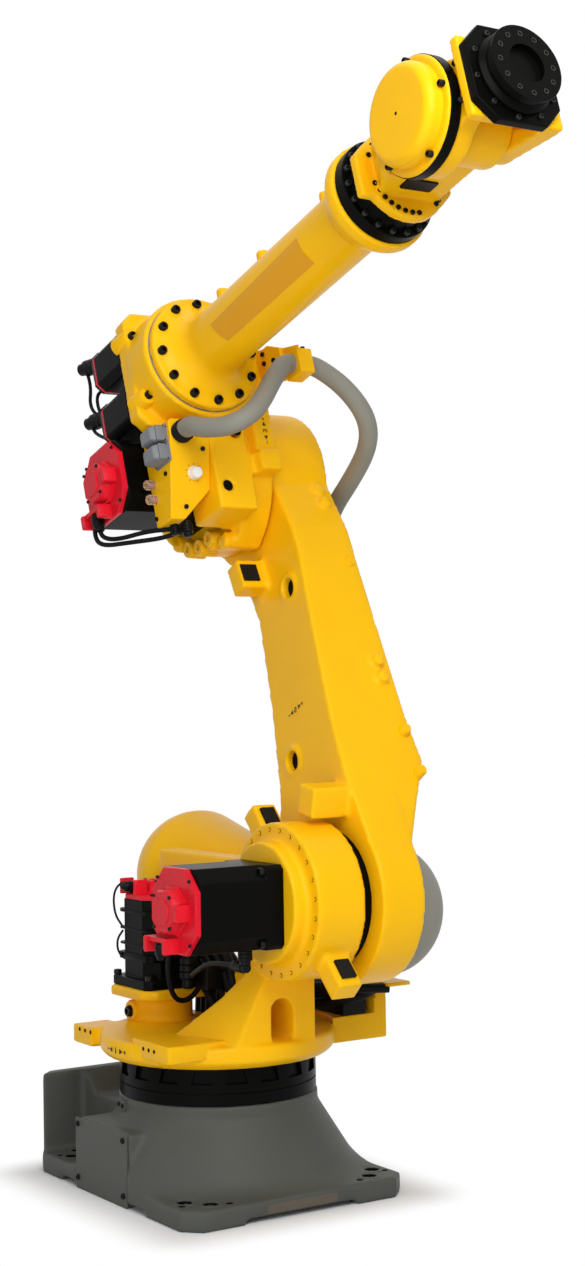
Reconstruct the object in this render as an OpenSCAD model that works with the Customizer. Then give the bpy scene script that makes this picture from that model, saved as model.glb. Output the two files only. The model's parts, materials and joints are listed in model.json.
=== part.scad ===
// Six-axis floor-standing industrial robot arm, in millimetres.
// Origin on the floor under the base axis, +X to the front, +Y to the arm's side, +Z up.

/* [Reach] */
// Height of the shoulder axis above the floor
shoulder_z = 670; // [640:1:760]
// Distance of the shoulder axis in front of the base axis
shoulder_x = 312; // [290:1:340]
// Length of the lower arm between shoulder and elbow axes
arm_l = 1075; // [950:1:1300]
// Rise of the forearm axis above the elbow axis
elbow_rise = 225; // [220:1:250]
// Length of the forearm from above the elbow axis to the wrist bend axis
forearm_l = 1280; // [1150:1:1500]
// Distance from the wrist bend axis to the tool flange face
hand_l = 215; // [212:1:250]
// Lean of the lower arm back from upright, in degrees
arm_lean = 28.3; // [20:0.1:35]
// Rise of the forearm from level, in degrees
forearm_rise = 17.3; // [10:0.1:25]

/* [Base] */
// Distance from the base axis to the front edge of the foot plate
base_front = 352; // [345:1:400]
// Distance from the base axis to the rear edge of the foot plate
base_rear = 376; // [370:1:420]
// Width of the foot plate
base_w = 572; // [550:1:640]
// Thickness of the foot plate
plate_t = 45; // [35:1:60]
// Radius of the bell at its neck
bell_r = 228; // [226:1:250]
// Height of the top of the bell
bell_top = 220; // [200:1:240]
// Diameter of the floor bolt holes
floor_hole_d = 34; // [20:1:38]
// Distance between the outer floor holes along X
floor_hole_dx = 524; // [510:1:540]
// Distance between the outer floor holes along Y
floor_hole_dy = 486; // [470:1:500]
// Distance between the inner floor holes along X
inner_hole_dx = 610; // [600:1:620]
// Distance between the inner floor holes along Y
inner_hole_dy = 410; // [400:1:415]
// Height of the cable box on the side of the base
side_box_h = 160; // [140:1:180]
// Height of the rear end wall of the base
rear_wall_h = 228; // [200:1:250]

/* [Turret] */
// Radius of the black reducer ring under the turret
ring_r = 225; // [215:1:226]
// Number of pockets round the reducer ring
ring_pockets = 18; // [12:1:20]
// Radius of the turret disc
disc_r = 269; // [262:1:290]
// Height of the underside of the turret disc
disc_z = 305; // [290:1:320]
// Thickness of the turret disc
disc_t = 50; // [40:1:60]
// Radius of the shoulder boss
boss_r = 172; // [165:1:180]
// Side length of the base and shoulder motor bodies
motor_w = 180; // [160:1:190]
// Length of the shoulder motor body
motor_l = 205; // [180:1:230]
// Radius of the balancer housing dome
balancer_r = 162; // [140:1:170]

/* [Lower arm] */
// Radius of the lower arm's shoulder end
arm_shoulder_r = 195; // [185:1:205]
// Radius of the lower arm's elbow end
arm_elbow_r = 190; // [180:1:200]
// Distance of the arm's outer face from the base axis plane
arm_outer_y = 335; // [315:1:360]
// Diameter of the two holes through the lower arm
arm_hole_d = 45; // [30:1:60]
// Thickness of the hose
hose_d = 45; // [35:1:50]

/* [Elbow and forearm] */
// Radius of the elbow casing's joint flange
elbow_r = 205; // [195:1:215]
// Radius of the forearm drive housing
drive_r = 150; // [142:1:158]
// Radius of the forearm's root flange
root_r = 140; // [134:1:148]
// Radius of the forearm tube
tube_r = 74; // [66:1:84]
// Radius of the forearm's end flange
tip_r = 138; // [130:1:146]
// Side length of the three wrist drive motors
small_motor_w = 104; // [90:1:112]

/* [Wrist] */
// Radius of the wrist bend drum
drum_r = 115; // [108:1:118]
// Outer diameter of the tool flange
flange_d = 160; // [152:1:170]
// Circle diameter of the tool bolt holes
flange_pcd = 125; // [118:1:130]
// Diameter of the tool bolt holes
flange_hole_d = 10; // [8:1:12]
// Diameter of the tool flange's centre bore
flange_bore_d = 80; // [60:1:90]

/* [Hidden] */
$fn = 96;
// Finish colours
yellow = "#fcc21e";
grey_iron = "#585a54";
black = "#151513";
red = "#cd283c";
hose_grey = "#8c8a80";
steel_grey = "#707173";
white = "#f0eeeb";
clear = "#d8c8b8";
// Clearance between faces of parts that turn against each other
run_gap = 0.3;
// How far a cut runs past the face it opens, and how far fused shapes reach into each other
overrun = 2;
// Number of chords in an arc of an outline
arc_n = 10;

// Points along an arc with centre c and radius r, from angle a0 to a1
function arc(c, r, a0, a1) =
    [for (i = [0 : arc_n]) let (a = a0 + (a1 - a0) * i / arc_n) c + r * [cos(a), sin(a)]];

// Corners of a square of side w with its corners cut by c
function cut_square(w, c) = let (h = w / 2)
    [[h, c - h], [h, h - c], [h - c, h], [c - h, h], [-h, h - c], [-h, c - h], [c - h, -h], [h - c, -h]];

// Round bar along Y from y0 to y1
module y_bar(r, y0, y1) { translate([0, y0, 0]) rotate([-90, 0, 0]) cylinder(r = r, h = y1 - y0); }

// Round bar along X from x0 to x1
module x_bar(r, x0, x1) { translate([x0, 0, 0]) rotate([0, 90, 0]) cylinder(r = r, h = x1 - x0); }

// Flat outline in the X and Z plane, thick along Y from y0 to y1
module y_slab(y0, y1) { translate([0, y1, 0]) rotate([90, 0, 0]) linear_extrude(y1 - y0) children(); }

// Flat outline in the Y and Z plane, thick along X from x0 to x1
module x_slab(x0, x1) { translate([x0, 0, 0]) rotate([90, 0, 90]) linear_extrude(x1 - x0) children(); }

// Block between two corners
module block(a, b) { translate(a) cube(b - a); }

// Shape turned about X, its outline given as [distance along X, radius]
module x_turned(points) {
    rotate([0, 90, 0]) rotate_extrude() polygon([for (p = points) [p[1], p[0]]]);
}

// Shape turned about Y, its outline given as [distance along Y, radius]
module y_turned(points) {
    rotate([-90, 0, 0]) rotate_extrude() polygon([for (p = points) [p[1], p[0]]]);
}

// Frame of the lower arm: origin on the shoulder axis, Z along the arm
module at_arm() { translate([shoulder_x, 0, shoulder_z]) rotate([0, -arm_lean, 0]) children(); }

// Frame of the elbow casing: origin above the elbow axis on the forearm axis, X along the forearm
elbow_x = shoulder_x - arm_l * sin(arm_lean);
elbow_z = shoulder_z + arm_l * cos(arm_lean);
forearm_x0 = elbow_x - elbow_rise * sin(forearm_rise);
forearm_z0 = elbow_z + elbow_rise * cos(forearm_rise);
module at_forearm() { translate([forearm_x0, 0, forearm_z0]) rotate([0, -forearm_rise, 0]) children(); }

// Frame of the elbow axis, turned with the elbow casing
module at_elbow() { at_forearm() translate([0, 0, -elbow_rise]) children(); }

// Base casting: foot plate, flared bell, cable box and rear end wall
corner_cut = 40;
flare_r = 300;
flare_z = 75;
neck_z = 190;
notch_h = 12;
notch_l = 80;
notch_d = 60;
side_box_x0 = -160;
side_box_x1 = 82;
side_cover_t = 6;
rear_wall_t = 36;
rear_house_w = 340;
rear_house_h = 178;
rear_gusset_l = 60;
recess_w = 190;
recess_h = 24;
recess_d = 5;
recess_lift = 8;
flare_lean = atan2(flare_r - bell_r, neck_z - flare_z);
foot_fillet = (flare_z - plate_t) / (1 - sin(flare_lean));
foot_arc_c = [flare_r + foot_fillet * cos(flare_lean), plate_t + foot_fillet];
floor_holes = [for (sx = [-1, 1], sy = [-1, 1], d = [[floor_hole_dx, floor_hole_dy], [inner_hole_dx, inner_hole_dy]])
    [sx * d[0] / 2, sy * d[1] / 2]];

module base_outline() {
    w = base_w / 2;
    polygon([[corner_cut - base_rear, -w], [base_front - corner_cut, -w], [base_front, corner_cut - w],
        [base_front, w - corner_cut], [base_front - corner_cut, w], [corner_cut - base_rear, w],
        [-base_rear, w - corner_cut], [-base_rear, corner_cut - w]]);
}

module base_bell() {
    rotate_extrude() polygon(concat([[0, 0], [foot_arc_c[0], 0]],
        arc(foot_arc_c, foot_fillet, 270, 180 + flare_lean),
        [[bell_r, neck_z], [bell_r, bell_top], [0, bell_top]]));
}

module base_casting() {
    w = base_w / 2;
    color(grey_iron) difference() {
        union() {
            linear_extrude(plate_t) base_outline();
            intersection() {
                base_bell();
                linear_extrude(bell_top) base_outline();
            }
            block([side_box_x0, side_cover_t - w, 0], [side_box_x1, 0, side_box_h]);
            intersection() {
                block([-base_rear, -w, 0], [rear_wall_t - base_rear, w, rear_wall_h]);
                linear_extrude(rear_wall_h) base_outline();
            }
            y_slab(-rear_house_w / 2, rear_house_w / 2) polygon([[-base_rear, 0], [0, 0], [0, rear_house_h],
                [rear_wall_t + rear_gusset_l - base_rear, rear_house_h], [rear_wall_t - base_rear, rear_wall_h],
                [-base_rear, rear_wall_h]]);
        }
        for (p = floor_holes)
            translate([p[0], p[1], -overrun]) cylinder(d = floor_hole_d, h = plate_t + 2 * overrun);
        for (x = [side_box_x0 - notch_l, side_box_x1]) {
            block([x, -w - overrun, -overrun], [x + notch_l, notch_d - w, notch_h]);
            block([x, w - notch_d, -overrun], [x + notch_l, w + overrun, notch_h]);
        }
        block([base_front - notch_d, -base_w / 4, -overrun], [base_front + overrun, base_w / 4, notch_h]);
        block([base_front - recess_d, -recess_w / 2, plate_t - recess_lift - recess_h],
            [base_front + overrun, recess_w / 2, plate_t - recess_lift]);
        block([side_box_x0, -w - overrun, -overrun], [side_box_x1, side_cover_t - w, side_box_h + overrun]);
    }
}

// Flat cover plate of the cable box
module base_side_cover() {
    color(grey_iron)
        block([side_box_x0, -base_w / 2, 0], [side_box_x1, side_cover_t - base_w / 2, side_box_h]);
}

// Black reducer ring with trapezoid pockets round its upper half
pocket_h_share = 0.45;
pocket_foot_share = 0.62;
pocket_top_share = 0.42;
pocket_d = 9;
groove_share = 0.3;
groove_w = 3;
module j1_reducer_ring() {
    top = disc_z - run_gap;
    pocket_h = (top - bell_top) * pocket_h_share;
    pitch = 2 * PI * ring_r / ring_pockets;
    color(black) difference() {
        translate([0, 0, bell_top]) cylinder(r = ring_r, h = top - bell_top);
        translate([0, 0, bell_top + (top - bell_top) * groove_share]) difference() {
            cylinder(r = ring_r + overrun, h = groove_w);
            translate([0, 0, -overrun]) cylinder(r = ring_r - groove_w, h = groove_w + 2 * overrun);
        }
        for (i = [0 : ring_pockets - 1])
            rotate(360 * i / ring_pockets) translate([0, 0, top - pocket_h])
                x_slab(ring_r - pocket_d, ring_r + overrun)
                    polygon([[-pitch * pocket_foot_share / 2, 0], [pitch * pocket_foot_share / 2, 0],
                        [pitch * pocket_top_share / 2, pocket_h * (1 - pocket_h_share / 2)],
                        [-pitch * pocket_top_share / 2, pocket_h * (1 - pocket_h_share / 2)]]);
    }
}

// Turret casting: disc, leaning column, shoulder boss, motor pedestal, rim lugs and arm stops
disc_edge = 15;
j1_motor_x = -200;
j1_motor_y = -32;
pedestal_r = 72;
pedestal_h = 55;
pedestal_plate_t = 24;
pedestal_plate_w = 200;
motor_cut = 30;
boss_y0 = -35;
boss_y1 = 85;
seat_r = 132;
seat_y = -70;
lug_h = 44;
lug_y = -240;
lug_l = 90;
lug_xs = [-255, 55];
stop_w = 50;
stop_reach = 78;
upper_stop_angle = 131.5;
lower_stop_angle = -45.5;
stop_y0 = 0;
stop_y1 = 60;
column_front_x = 250;
column_front_y = -100;
column_back_y = 105;
column_skew = 19.2;
column_lean_y = 65;
column_lean_z = 134;
column_side_shares = [[0.25, 0], [0.62, 0.3], [0.76, 0.46], [0.77, 0.64], [0.85, 0.84], [1, 0.9], [1, 0.56]];
rib_y0 = 30;
rib_shares = [[-0.36, 0], [0.4, 0], [0.85, 0.8], [0.6, 0.82]];
shelf_x0 = -285;
shelf_x1 = 185;
shelf_y0 = 12;
shelf_y1 = 72;
shelf_z0 = 696;
shelf_z1 = 746;
lug_hole_d = 9;
lug_hole_l = 14;
lug_hole_shares = [-0.28, 0, 0.28];
window_w = 58;
window_h = 92;
window_y = 19;
window_d = 130;
disc_top = disc_z + disc_t;

// A stop block standing out from the shoulder boss at an angle
stop_root = 20;
module shoulder_stop(a) {
    rotate([0, -a, 0]) block([boss_r - stop_root, stop_y0, -stop_w / 2], [boss_r + stop_reach, stop_y1, stop_w / 2]);
}

// Column: its side outline, cut on the motor's side by a face that leans in and turns toward the rear
module turret_column() {
    rise = shoulder_z - disc_top;
    span = column_front_x;
    reach = 2 * disc_r;
    difference() {
        intersection() {
            y_slab(column_front_y - span, column_back_y)
                polygon(concat([[span, disc_top - overrun]], [[span * column_side_shares[0][0], disc_top - overrun]],
                    [for (p = column_side_shares) [span * p[0], disc_top + rise * p[1]]]));
            translate([column_front_x, column_front_y, disc_top]) rotate(column_skew) x_slab(-reach, reach)
                polygon([[-overrun * column_lean_y / column_lean_z, -overrun], [reach, -overrun], [reach, rise],
                    [column_lean_y * rise / column_lean_z, rise]]);
        }
        translate([shoulder_x, 0, shoulder_z])
            y_bar(reducer_r + motor_room, boss_y1 - overrun, column_back_y + overrun);
    }
    y_slab(rib_y0, boss_y1 - overrun)
        polygon([for (p = rib_shares) [span * p[0], disc_top - overrun + rise * p[1]]]);
}

// Arched window in the front face of the column
module column_window() {
    spring = window_h - window_w / 2;
    translate([column_front_x, window_y, disc_top + overrun]) x_slab(-window_d, overrun) {
        translate([-window_w / 2, 0]) square([window_w, spring]);
        translate([0, spring]) circle(d = window_w);
    }
}

module turret_casting() {
    color(yellow) difference() {
        union() {
            rotate_extrude() polygon([[0, disc_z], [disc_r - disc_edge, disc_z], [disc_r, disc_z + disc_edge],
                [disc_r, disc_top - disc_edge / 3], [disc_r - disc_edge / 3, disc_top], [0, disc_top]]);
            for (x = lug_xs) block([x, lug_y, disc_top - lug_h], [x + lug_l, lug_y + lug_l, disc_top]);
            translate([j1_motor_x, j1_motor_y, disc_top - overrun])
                cylinder(r = pedestal_r, h = pedestal_h + overrun);
            translate([j1_motor_x, j1_motor_y, disc_top + pedestal_h])
                linear_extrude(pedestal_plate_t) polygon(cut_square(pedestal_plate_w, motor_cut));
            turret_column();
            block([shelf_x0, shelf_y0, shelf_z0], [shelf_x1, shelf_y1, shelf_z1]);
            translate([balancer_x + balancer_l - post_w, post_y - post_w / 2, disc_top - overrun])
                cube([post_w, post_w, post_top - disc_top + overrun]);
            translate([shoulder_x, 0, shoulder_z]) {
                y_bar(boss_r, boss_y0, boss_y1);
                y_bar(seat_r, seat_y, boss_y0 + overrun);
                for (a = [upper_stop_angle, lower_stop_angle]) shoulder_stop(a);
            }
        }
        column_window();
        for (x = lug_xs, k = lug_hole_shares) translate([x + lug_l * (1 / 2 + k), 0, disc_top - lug_h / 2])
            y_bar(lug_hole_d / 2, lug_y - overrun, lug_y + lug_hole_l);
    }
}

// Upright base drive motor and its cap
j1_motor_z = disc_top + pedestal_h + pedestal_plate_t;
j1_motor_h = 205;
j1_motor_w = 150;
motor_foot_t = 22;
cap_t = 12;
cap_box_t = 40;
cap_box_share = 0.62;
module j1_motor() {
    color(black) translate([j1_motor_x, j1_motor_y, j1_motor_z]) {
        linear_extrude(j1_motor_h) polygon(cut_square(j1_motor_w, motor_cut));
        linear_extrude(motor_foot_t) polygon(cut_square(motor_w, motor_cut / 2));
    }
}

module j1_motor_cap() {
    color(red) translate([j1_motor_x, j1_motor_y, j1_motor_z + j1_motor_h]) motor_cap(j1_motor_w);
}

// Octagonal end plate with the raised encoder box, drawn upward from its seat
module motor_cap(w) {
    linear_extrude(cap_t) polygon(cut_square(w + overrun, w / 4));
    linear_extrude(cap_t + cap_box_t) polygon(cut_square(w * cap_box_share, w * cap_box_share / 4));
    translate([0, -w * cap_box_share / 4, 0])
        linear_extrude(cap_t + cap_box_t / 2) square([w * cap_box_share / 2, w * cap_box_share], center = true);
}

// Shoulder drive motor on the boss, its cap, and the reducer in the gap to the arm
module j2_motor() {
    color(black) translate([shoulder_x, seat_y, shoulder_z]) rotate([90, 0, 0]) {
        linear_extrude(motor_l) polygon(cut_square(motor_w, motor_cut));
        linear_extrude(motor_foot_t * 2) polygon(cut_square(motor_w, motor_cut / 3));
    }
}

module j2_motor_cap() {
    color(red) translate([shoulder_x, seat_y - motor_l, shoulder_z]) rotate([90, 0, 0]) motor_cap(motor_w);
}

arm_inner_y = 115;
reducer_r = 150;
module j2_reducer() {
    color(black) translate([shoulder_x, 0, shoulder_z]) y_bar(reducer_r, boss_y1, arm_inner_y - run_gap);
}

// Balancer housing: a domed shell that narrows to the front, carried by a post on the turret disc
balancer_x = -415;
balancer_y = 205;
balancer_z = 662;
balancer_l = 355;
balancer_nose_share = 0.5;
post_w = 70;
post_y = 190;
post_top = 540;
module balancer_housing() {
    color(yellow) {
        translate([balancer_x, balancer_y, balancer_z]) x_turned(concat(
            arc([0, 0], balancer_r, 180, 90), [[balancer_l, balancer_r * balancer_nose_share], [balancer_l, 0]]));
        translate([balancer_x + balancer_l - post_w, post_y - post_w / 2, post_top])
            cube([post_w, post_w, balancer_z - post_top]);
    }
}

// Rubber pads on the turret's two stop blocks
pad_t = 8;
pad_share = 0.6;
module turret_stop_pads() {
    side = [-1, 1];
    angles = [upper_stop_angle, lower_stop_angle];
    l = stop_reach * pad_share;
    w = (stop_y1 - stop_y0) * pad_share;
    y = (stop_y0 + stop_y1 - w) / 2;
    color(black) translate([shoulder_x, 0, shoulder_z])
        for (i = [0, 1]) rotate([0, -angles[i], 0])
            translate([boss_r + (stop_reach - l) / 2, y, side[i] * (stop_w + pad_t) / 2 - pad_t / 2])
                cube([l, w, pad_t]);
}

// Shelf on the arm's side of the disc that carries the cable run
bracket_x0 = -60;
bracket_x1 = 110;
bracket_y = 400;
bracket_h = 96;
bracket_wall_t = 36;
bracket_wall_x = 20;
bracket_floor_t = 60;
module turret_side_bracket() {
    color(yellow) difference() {
        union() {
            block([bracket_x0, 0, disc_z], [bracket_x1, bracket_y, disc_z + bracket_floor_t]);
            block([bracket_wall_x, bracket_y - bracket_wall_t, disc_z], [bracket_x1, bracket_y, disc_z + bracket_h]);
        }
        cylinder(r = disc_r, h = shoulder_z);
    }
}

// Lower arm casting: two round ends joined by a tapered beam set toward the front
arm_upper_y = 178;
arm_end_y = 225;
beam_rear_shares = [[-0.172, 0.06], [-0.088, 0.28], [-0.056, 0.465], [-0.037, 0.67], [-0.075, 0.86]];
beam_front_shares = [[0.155, 0.93], [0.175, 0.79], [0.165, 0.56], [0.16, 0.32], [0.178, 0.05]];
arm_taper_shares = [0.2, 0.74];
outer_taper_shares = [0.15, 0.215];
arm_hole_places = [[0.108, 0.676], [-0.01, 0.317]];
arm_rim_t = 12;
arm_rim_h = 6;
arm_stop_r0 = 180;
arm_stop_r1 = 255;
arm_stop_w = 60;
arm_stop_y0 = 20;
arm_stop_angle = 51;
elbow_stop_y0 = 104;
elbow_stop_drop = 225;
elbow_stop_h = 74;
elbow_stop_x0 = -12;
elbow_stop_x1 = 40;
elbow_stop_z = arm_l - elbow_stop_drop;
arm_root = 20;
front_boss_r = 15;
front_boss_l = 14;
front_boss_y = 300;
front_boss_places = [[0.155, 0.9], [0.165, 0.86], [0.168, 0.46], [0.165, 0.42]];

// Distance of the inner face at a share of the arm's length
function arm_rim_y(k) = let (t = (k - arm_taper_shares[0]) / (arm_taper_shares[1] - arm_taper_shares[0]))
    arm_inner_y + (arm_upper_y - arm_inner_y) * max(0, min(1, t));

module arm_side_outline() {
    circle(r = arm_shoulder_r);
    translate([0, arm_l]) circle(r = arm_elbow_r);
    polygon([for (p = concat(beam_rear_shares, beam_front_shares)) p * arm_l]);
}

module lower_arm_casting() {
    color(yellow) at_arm() difference() {
        union() {
            intersection() {
                y_slab(0, arm_outer_y) arm_side_outline();
                x_slab(-arm_l, arm_l) polygon([[arm_inner_y, -arm_shoulder_r - overrun],
                    [arm_inner_y, arm_l * arm_taper_shares[0]], [arm_upper_y, arm_l * arm_taper_shares[1]],
                    [arm_upper_y, arm_l + arm_elbow_r + overrun], [arm_outer_y, arm_l + arm_elbow_r + overrun],
                    [arm_outer_y, arm_l * outer_taper_shares[1]], [arm_end_y, arm_l * outer_taper_shares[0]],
                    [arm_end_y, -arm_shoulder_r - overrun]]);
            }
            rotate([0, -arm_stop_angle, 0])
                block([arm_stop_r0 + pad_t, arm_stop_y0, -arm_stop_w / 2],
                    [arm_stop_r1, arm_inner_y + arm_root, arm_stop_w / 2]);
            block([elbow_stop_x0, elbow_stop_y0, elbow_stop_z - elbow_stop_h],
                [elbow_stop_x1, arm_upper_y + overrun, elbow_stop_z]);
            for (p = front_boss_places) translate([0, front_boss_y, p[1] * arm_l])
                x_bar(front_boss_r, 0, p[0] * arm_l + front_boss_l);
            for (p = arm_hole_places) translate([p[0] * arm_l, 0, p[1] * arm_l])
                y_bar(arm_hole_d / 2 + arm_rim_t, arm_rim_y(p[1]) - arm_rim_h, arm_outer_y - arm_rim_t);
        }
        for (p = arm_hole_places) translate([p[0] * arm_l, 0, p[1] * arm_l])
            y_bar(arm_hole_d / 2, 0, arm_outer_y + overrun);
    }
}

// Rubber pad on the lower arm's elbow stop
module arm_stop_pads() {
    l = elbow_stop_h * pad_share;
    w = (arm_upper_y - elbow_stop_y0) * pad_share;
    color(black) at_arm() translate([elbow_stop_x1, elbow_stop_y0 + pad_t / 2, elbow_stop_z - (elbow_stop_h + l) / 2])
        cube([pad_t / 2, w, l]);
}

// Grey domed cover over the cable loop on the shoulder end
cover_r = 150;
cover_h = 112;
module cable_cover() {
    color(hose_grey) at_arm() translate([0, arm_end_y, 0])
        y_turned(concat([[0, 0], [0, cover_r]],
            [for (i = [1 : arc_n]) let (a = 90 * i / arc_n) [cover_h * sin(a), cover_r * cos(a)]]));
}

// Elbow casting: joint disc, drive housing and the web between them
elbow_y0 = 100;
elbow_y1 = 172;
drive_x0 = 122;
drive_x1 = 250;
web_y0 = 0;
plate_x0 = -110;
plate_y0 = 118;
motor_room = 4;
drive_lip = 14;
gear_plate_w = 290;
gear_plate_t = 44;
gear_plate_cut = 26;
elbow_lug_w = 50;
elbow_lug_reach = 46;
elbow_root = 20;
elbow_lug_y0 = 112;
lower_boss_angles = [214, 236, 256, 276, 296];
lower_boss_r = 23;
lower_boss_share = 0.9;
lower_boss_y0 = 72;
web_r = 68;
web_z = -30;
web_elbow_r = 150;
web_elbow_y0 = 44;
casing_hole_r = 14;
casing_hole_places = [[30, -308], [71, -172]];
web_foot_z = -366;
motor_top = motor_w / 2 + motor_room - elbow_rise;
module elbow_casting() {
    color(yellow) difference() {
        elbow_body();
        at_elbow() block([-motor_room - motor_w / 2, -drive_r - overrun, -web_elbow_r - overrun],
            [motor_w / 2 + motor_room, elbow_y0, motor_w / 2 + motor_room]);
        small_motor_seats() linear_extrude(2 * small_motor_l)
            polygon(cut_square(small_motor_w + 2 * motor_room, small_motor_cut));
        for (p = casing_hole_places) at_forearm() translate([0, p[0], p[1]])
            x_bar(casing_hole_r, drive_x0 + gear_plate_t, 2 * drive_x1);
    }
}

module elbow_body() {
    union() {
        at_elbow() {
            y_bar(elbow_r, elbow_y0, elbow_y1);
            block([elbow_r - elbow_root * 2, elbow_lug_y0, -elbow_lug_w],
                [elbow_r + elbow_lug_reach, elbow_y1 - overrun, 0]);
            for (a = lower_boss_angles)
                translate([elbow_r * lower_boss_share * cos(a), 0, elbow_r * lower_boss_share * sin(a)])
                    y_bar(lower_boss_r, lower_boss_y0, elbow_y1 - overrun);
        }
        at_forearm() {
            x_bar(drive_r, drive_x0 + gear_plate_t - overrun, drive_x1);
            x_slab(drive_x0, drive_x0 + gear_plate_t) polygon(cut_square(gear_plate_w, gear_plate_cut));
            block([drive_x0, web_y0, motor_top], [drive_x1 - drive_lip, elbow_y1 - overrun, 0]);
            block([motor_w / 2 + motor_room, web_y0, web_foot_z], [box_x1, elbow_y0 + overrun, 0]);
            block([plate_x0, plate_y0, -elbow_rise], [drive_x1 - drive_lip, elbow_y1 - overrun, drive_r / 2]);
        }
        hull() {
            at_forearm() translate([0, web_r, web_z])
                x_bar(web_r, drive_x0 + gear_plate_t, drive_x1 - drive_lip, $fn = 32);
            at_elbow() y_bar(web_elbow_r, web_elbow_y0, elbow_y1 - overrun, $fn = 32);
        }
    }
}

// Elbow drive motor, its cap, and the reducer in the gap to the lower arm
j3_motor_l = 260;
module j3_motor() {
    color(black) at_elbow() translate([0, elbow_y0, 0]) rotate([90, 0, 0]) {
        linear_extrude(j3_motor_l) polygon(cut_square(motor_w, motor_cut));
        linear_extrude(motor_foot_t * 2) polygon(cut_square(motor_w, motor_cut / 3));
    }
}

module j3_motor_cap() {
    color(red) at_elbow() translate([0, elbow_y0 - j3_motor_l, 0]) rotate([90, 0, 0]) motor_cap(motor_w);
}

module j3_reducer() {
    color(black) at_elbow() y_bar(reducer_r, elbow_y1, arm_upper_y - run_gap);
}

// Three wrist drive motors behind the drive housing
small_motor_l = 120;
small_motor_cut = 18;
small_cap_t = 22;
small_motor_places = [[-92, 68], [-92, -68], [44, 0]];
plug_r = 17;
plug_l = 46;
module small_motor_seats() {
    for (p = small_motor_places) at_forearm() translate([drive_x0, p[0], p[1]]) rotate([0, -90, 0]) children();
}

module wrist_drive_motors() {
    color(black) small_motor_seats()
        linear_extrude(small_motor_l) polygon(cut_square(small_motor_w, small_motor_cut));
}

module wrist_drive_caps() {
    color(red) small_motor_seats() translate([0, 0, small_motor_l])
        linear_extrude(small_cap_t) polygon(cut_square(small_motor_w, small_motor_cut));
}

module wrist_drive_plugs() {
    color(black) small_motor_seats() translate([0, 0, small_motor_l + small_cap_t]) cylinder(r = plug_r, h = plug_l);
}

// Junction box on the casing, with connectors, knob and air fittings
box_x0 = 96;
box_x1 = 222;
box_y0 = -105;
box_z0 = -375;
box_z1 = -148;
box_bend_z = -192;
box_foot_x = 165;
box_head_y = -37;
box_cut = 34;
connector_x = 178;
connector_w = 64;
connector_h = 42;
connector_d = 40;
connector_z = [-180, -226];
fitting_x = 114;
fitting_r = 12;
fitting_l = 34;
fitting_z = [-272, -308];
knob_r = 15;
knob_t = 20;
knob_y = -44;
knob_z = -272;
box_slant = atan2(box_x1 - box_foot_x, box_bend_z - box_z0);
knob_x = box_x1 - (box_bend_z - knob_z) * tan(box_slant);
module junction_box() {
    color(yellow) at_forearm() intersection() {
        y_slab(box_y0, web_y0) polygon([[box_x0, box_z0], [box_foot_x, box_z0], [box_x1, box_bend_z],
            [box_x1, box_z1], [box_x0, box_z1]]);
        x_slab(box_x0, box_x1) polygon([[box_y0, box_z0], [-box_cut * 2, box_z0], [web_y0, box_z0 + box_cut * 2],
            [web_y0, box_bend_z], [box_head_y, box_bend_z], [box_head_y, box_z1], [box_y0 + box_cut / 4, box_z1],
            [box_y0, box_z1 - box_cut / 4]]);
    }
}

module box_connectors() {
    color(steel_grey) at_forearm() for (z = connector_z)
        translate([connector_x - connector_w / 2, box_y0 - connector_d, z - connector_h / 2])
            cube([connector_w, connector_d, connector_h]);
}

module box_knob() {
    color(white) at_forearm() translate([knob_x, knob_y, knob_z]) rotate([0, box_slant, 0]) x_bar(knob_r, 0, knob_t);
}

module air_fittings() {
    color(clear) at_forearm() for (z = fitting_z)
        translate([fitting_x, 0, z]) y_bar(fitting_r, box_y0 - fitting_l, box_y0);
}

// Hose: routes in the forearm frame, swept as a tube of few sides
hose_sides = 10;
run_route = [[245, -75, -184], [258, -75, -184], [276, -75, -191], [302, -72, -205], [331, -62, -219],
    [360, -50, -229], [385, -36, -231], [402, -14, -223], [408, 10, -206], [403, 36, -180], [394, 64, -147],
    [382, 94, -111], [370, 126, -78], [360, 148, -60], [357, 162, -55], [357, 172, -55]];
// The loop's route in the lower arm's frame
loop_route = [[383, 212, 1174], [383, 232, 1174], [391, 254, 1150], [400, 280, 1112], [400, 306, 1070],
    [387, 330, 1035], [358, 350, 1010], [316, 364, 995], [268, 374, 988], [216, 382, 984], [164, 388, 980],
    [116, 390, 974], [76, 390, 960], [46, 390, 935], [27, 390, 900], [20, 390, 862], [20, 390, 826]];

function unit(v) = v / norm(v);
function route_dir(p, i) = unit(p[min(i + 1, len(p) - 1)] - p[max(i - 1, 0)]);
function route_side(p, i) = unit(cross(route_dir(p, i), [0.2, 0.3, 1]));
function route_ring(p, i, r) = let (t = route_dir(p, i), s = route_side(p, i), u = cross(t, s))
    [for (k = [0 : hose_sides - 1]) let (a = 360 * k / hose_sides) p[i] + r * (cos(a) * s + sin(a) * u)];

module tube_along(p, r) {
    n = len(p);
    m = hose_sides;
    polyhedron(points = [for (i = [0 : n - 1]) each route_ring(p, i, r)],
        faces = concat([[for (k = [0 : m - 1]) m - 1 - k]], [[for (k = [0 : m - 1]) (n - 1) * m + k]],
            [for (i = [0 : n - 2], k = [0 : m - 1]) let (j = (k + 1) % m)
                each [[i * m + k, i * m + j, (i + 1) * m + j], [i * m + k, (i + 1) * m + j, (i + 1) * m + k]]]));
}

module hose_run() { color(hose_grey) at_forearm() tube_along(run_route, hose_d / 2); }

module hose_loop() { color(hose_grey) at_arm() tube_along(loop_route, hose_d / 2); }

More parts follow.
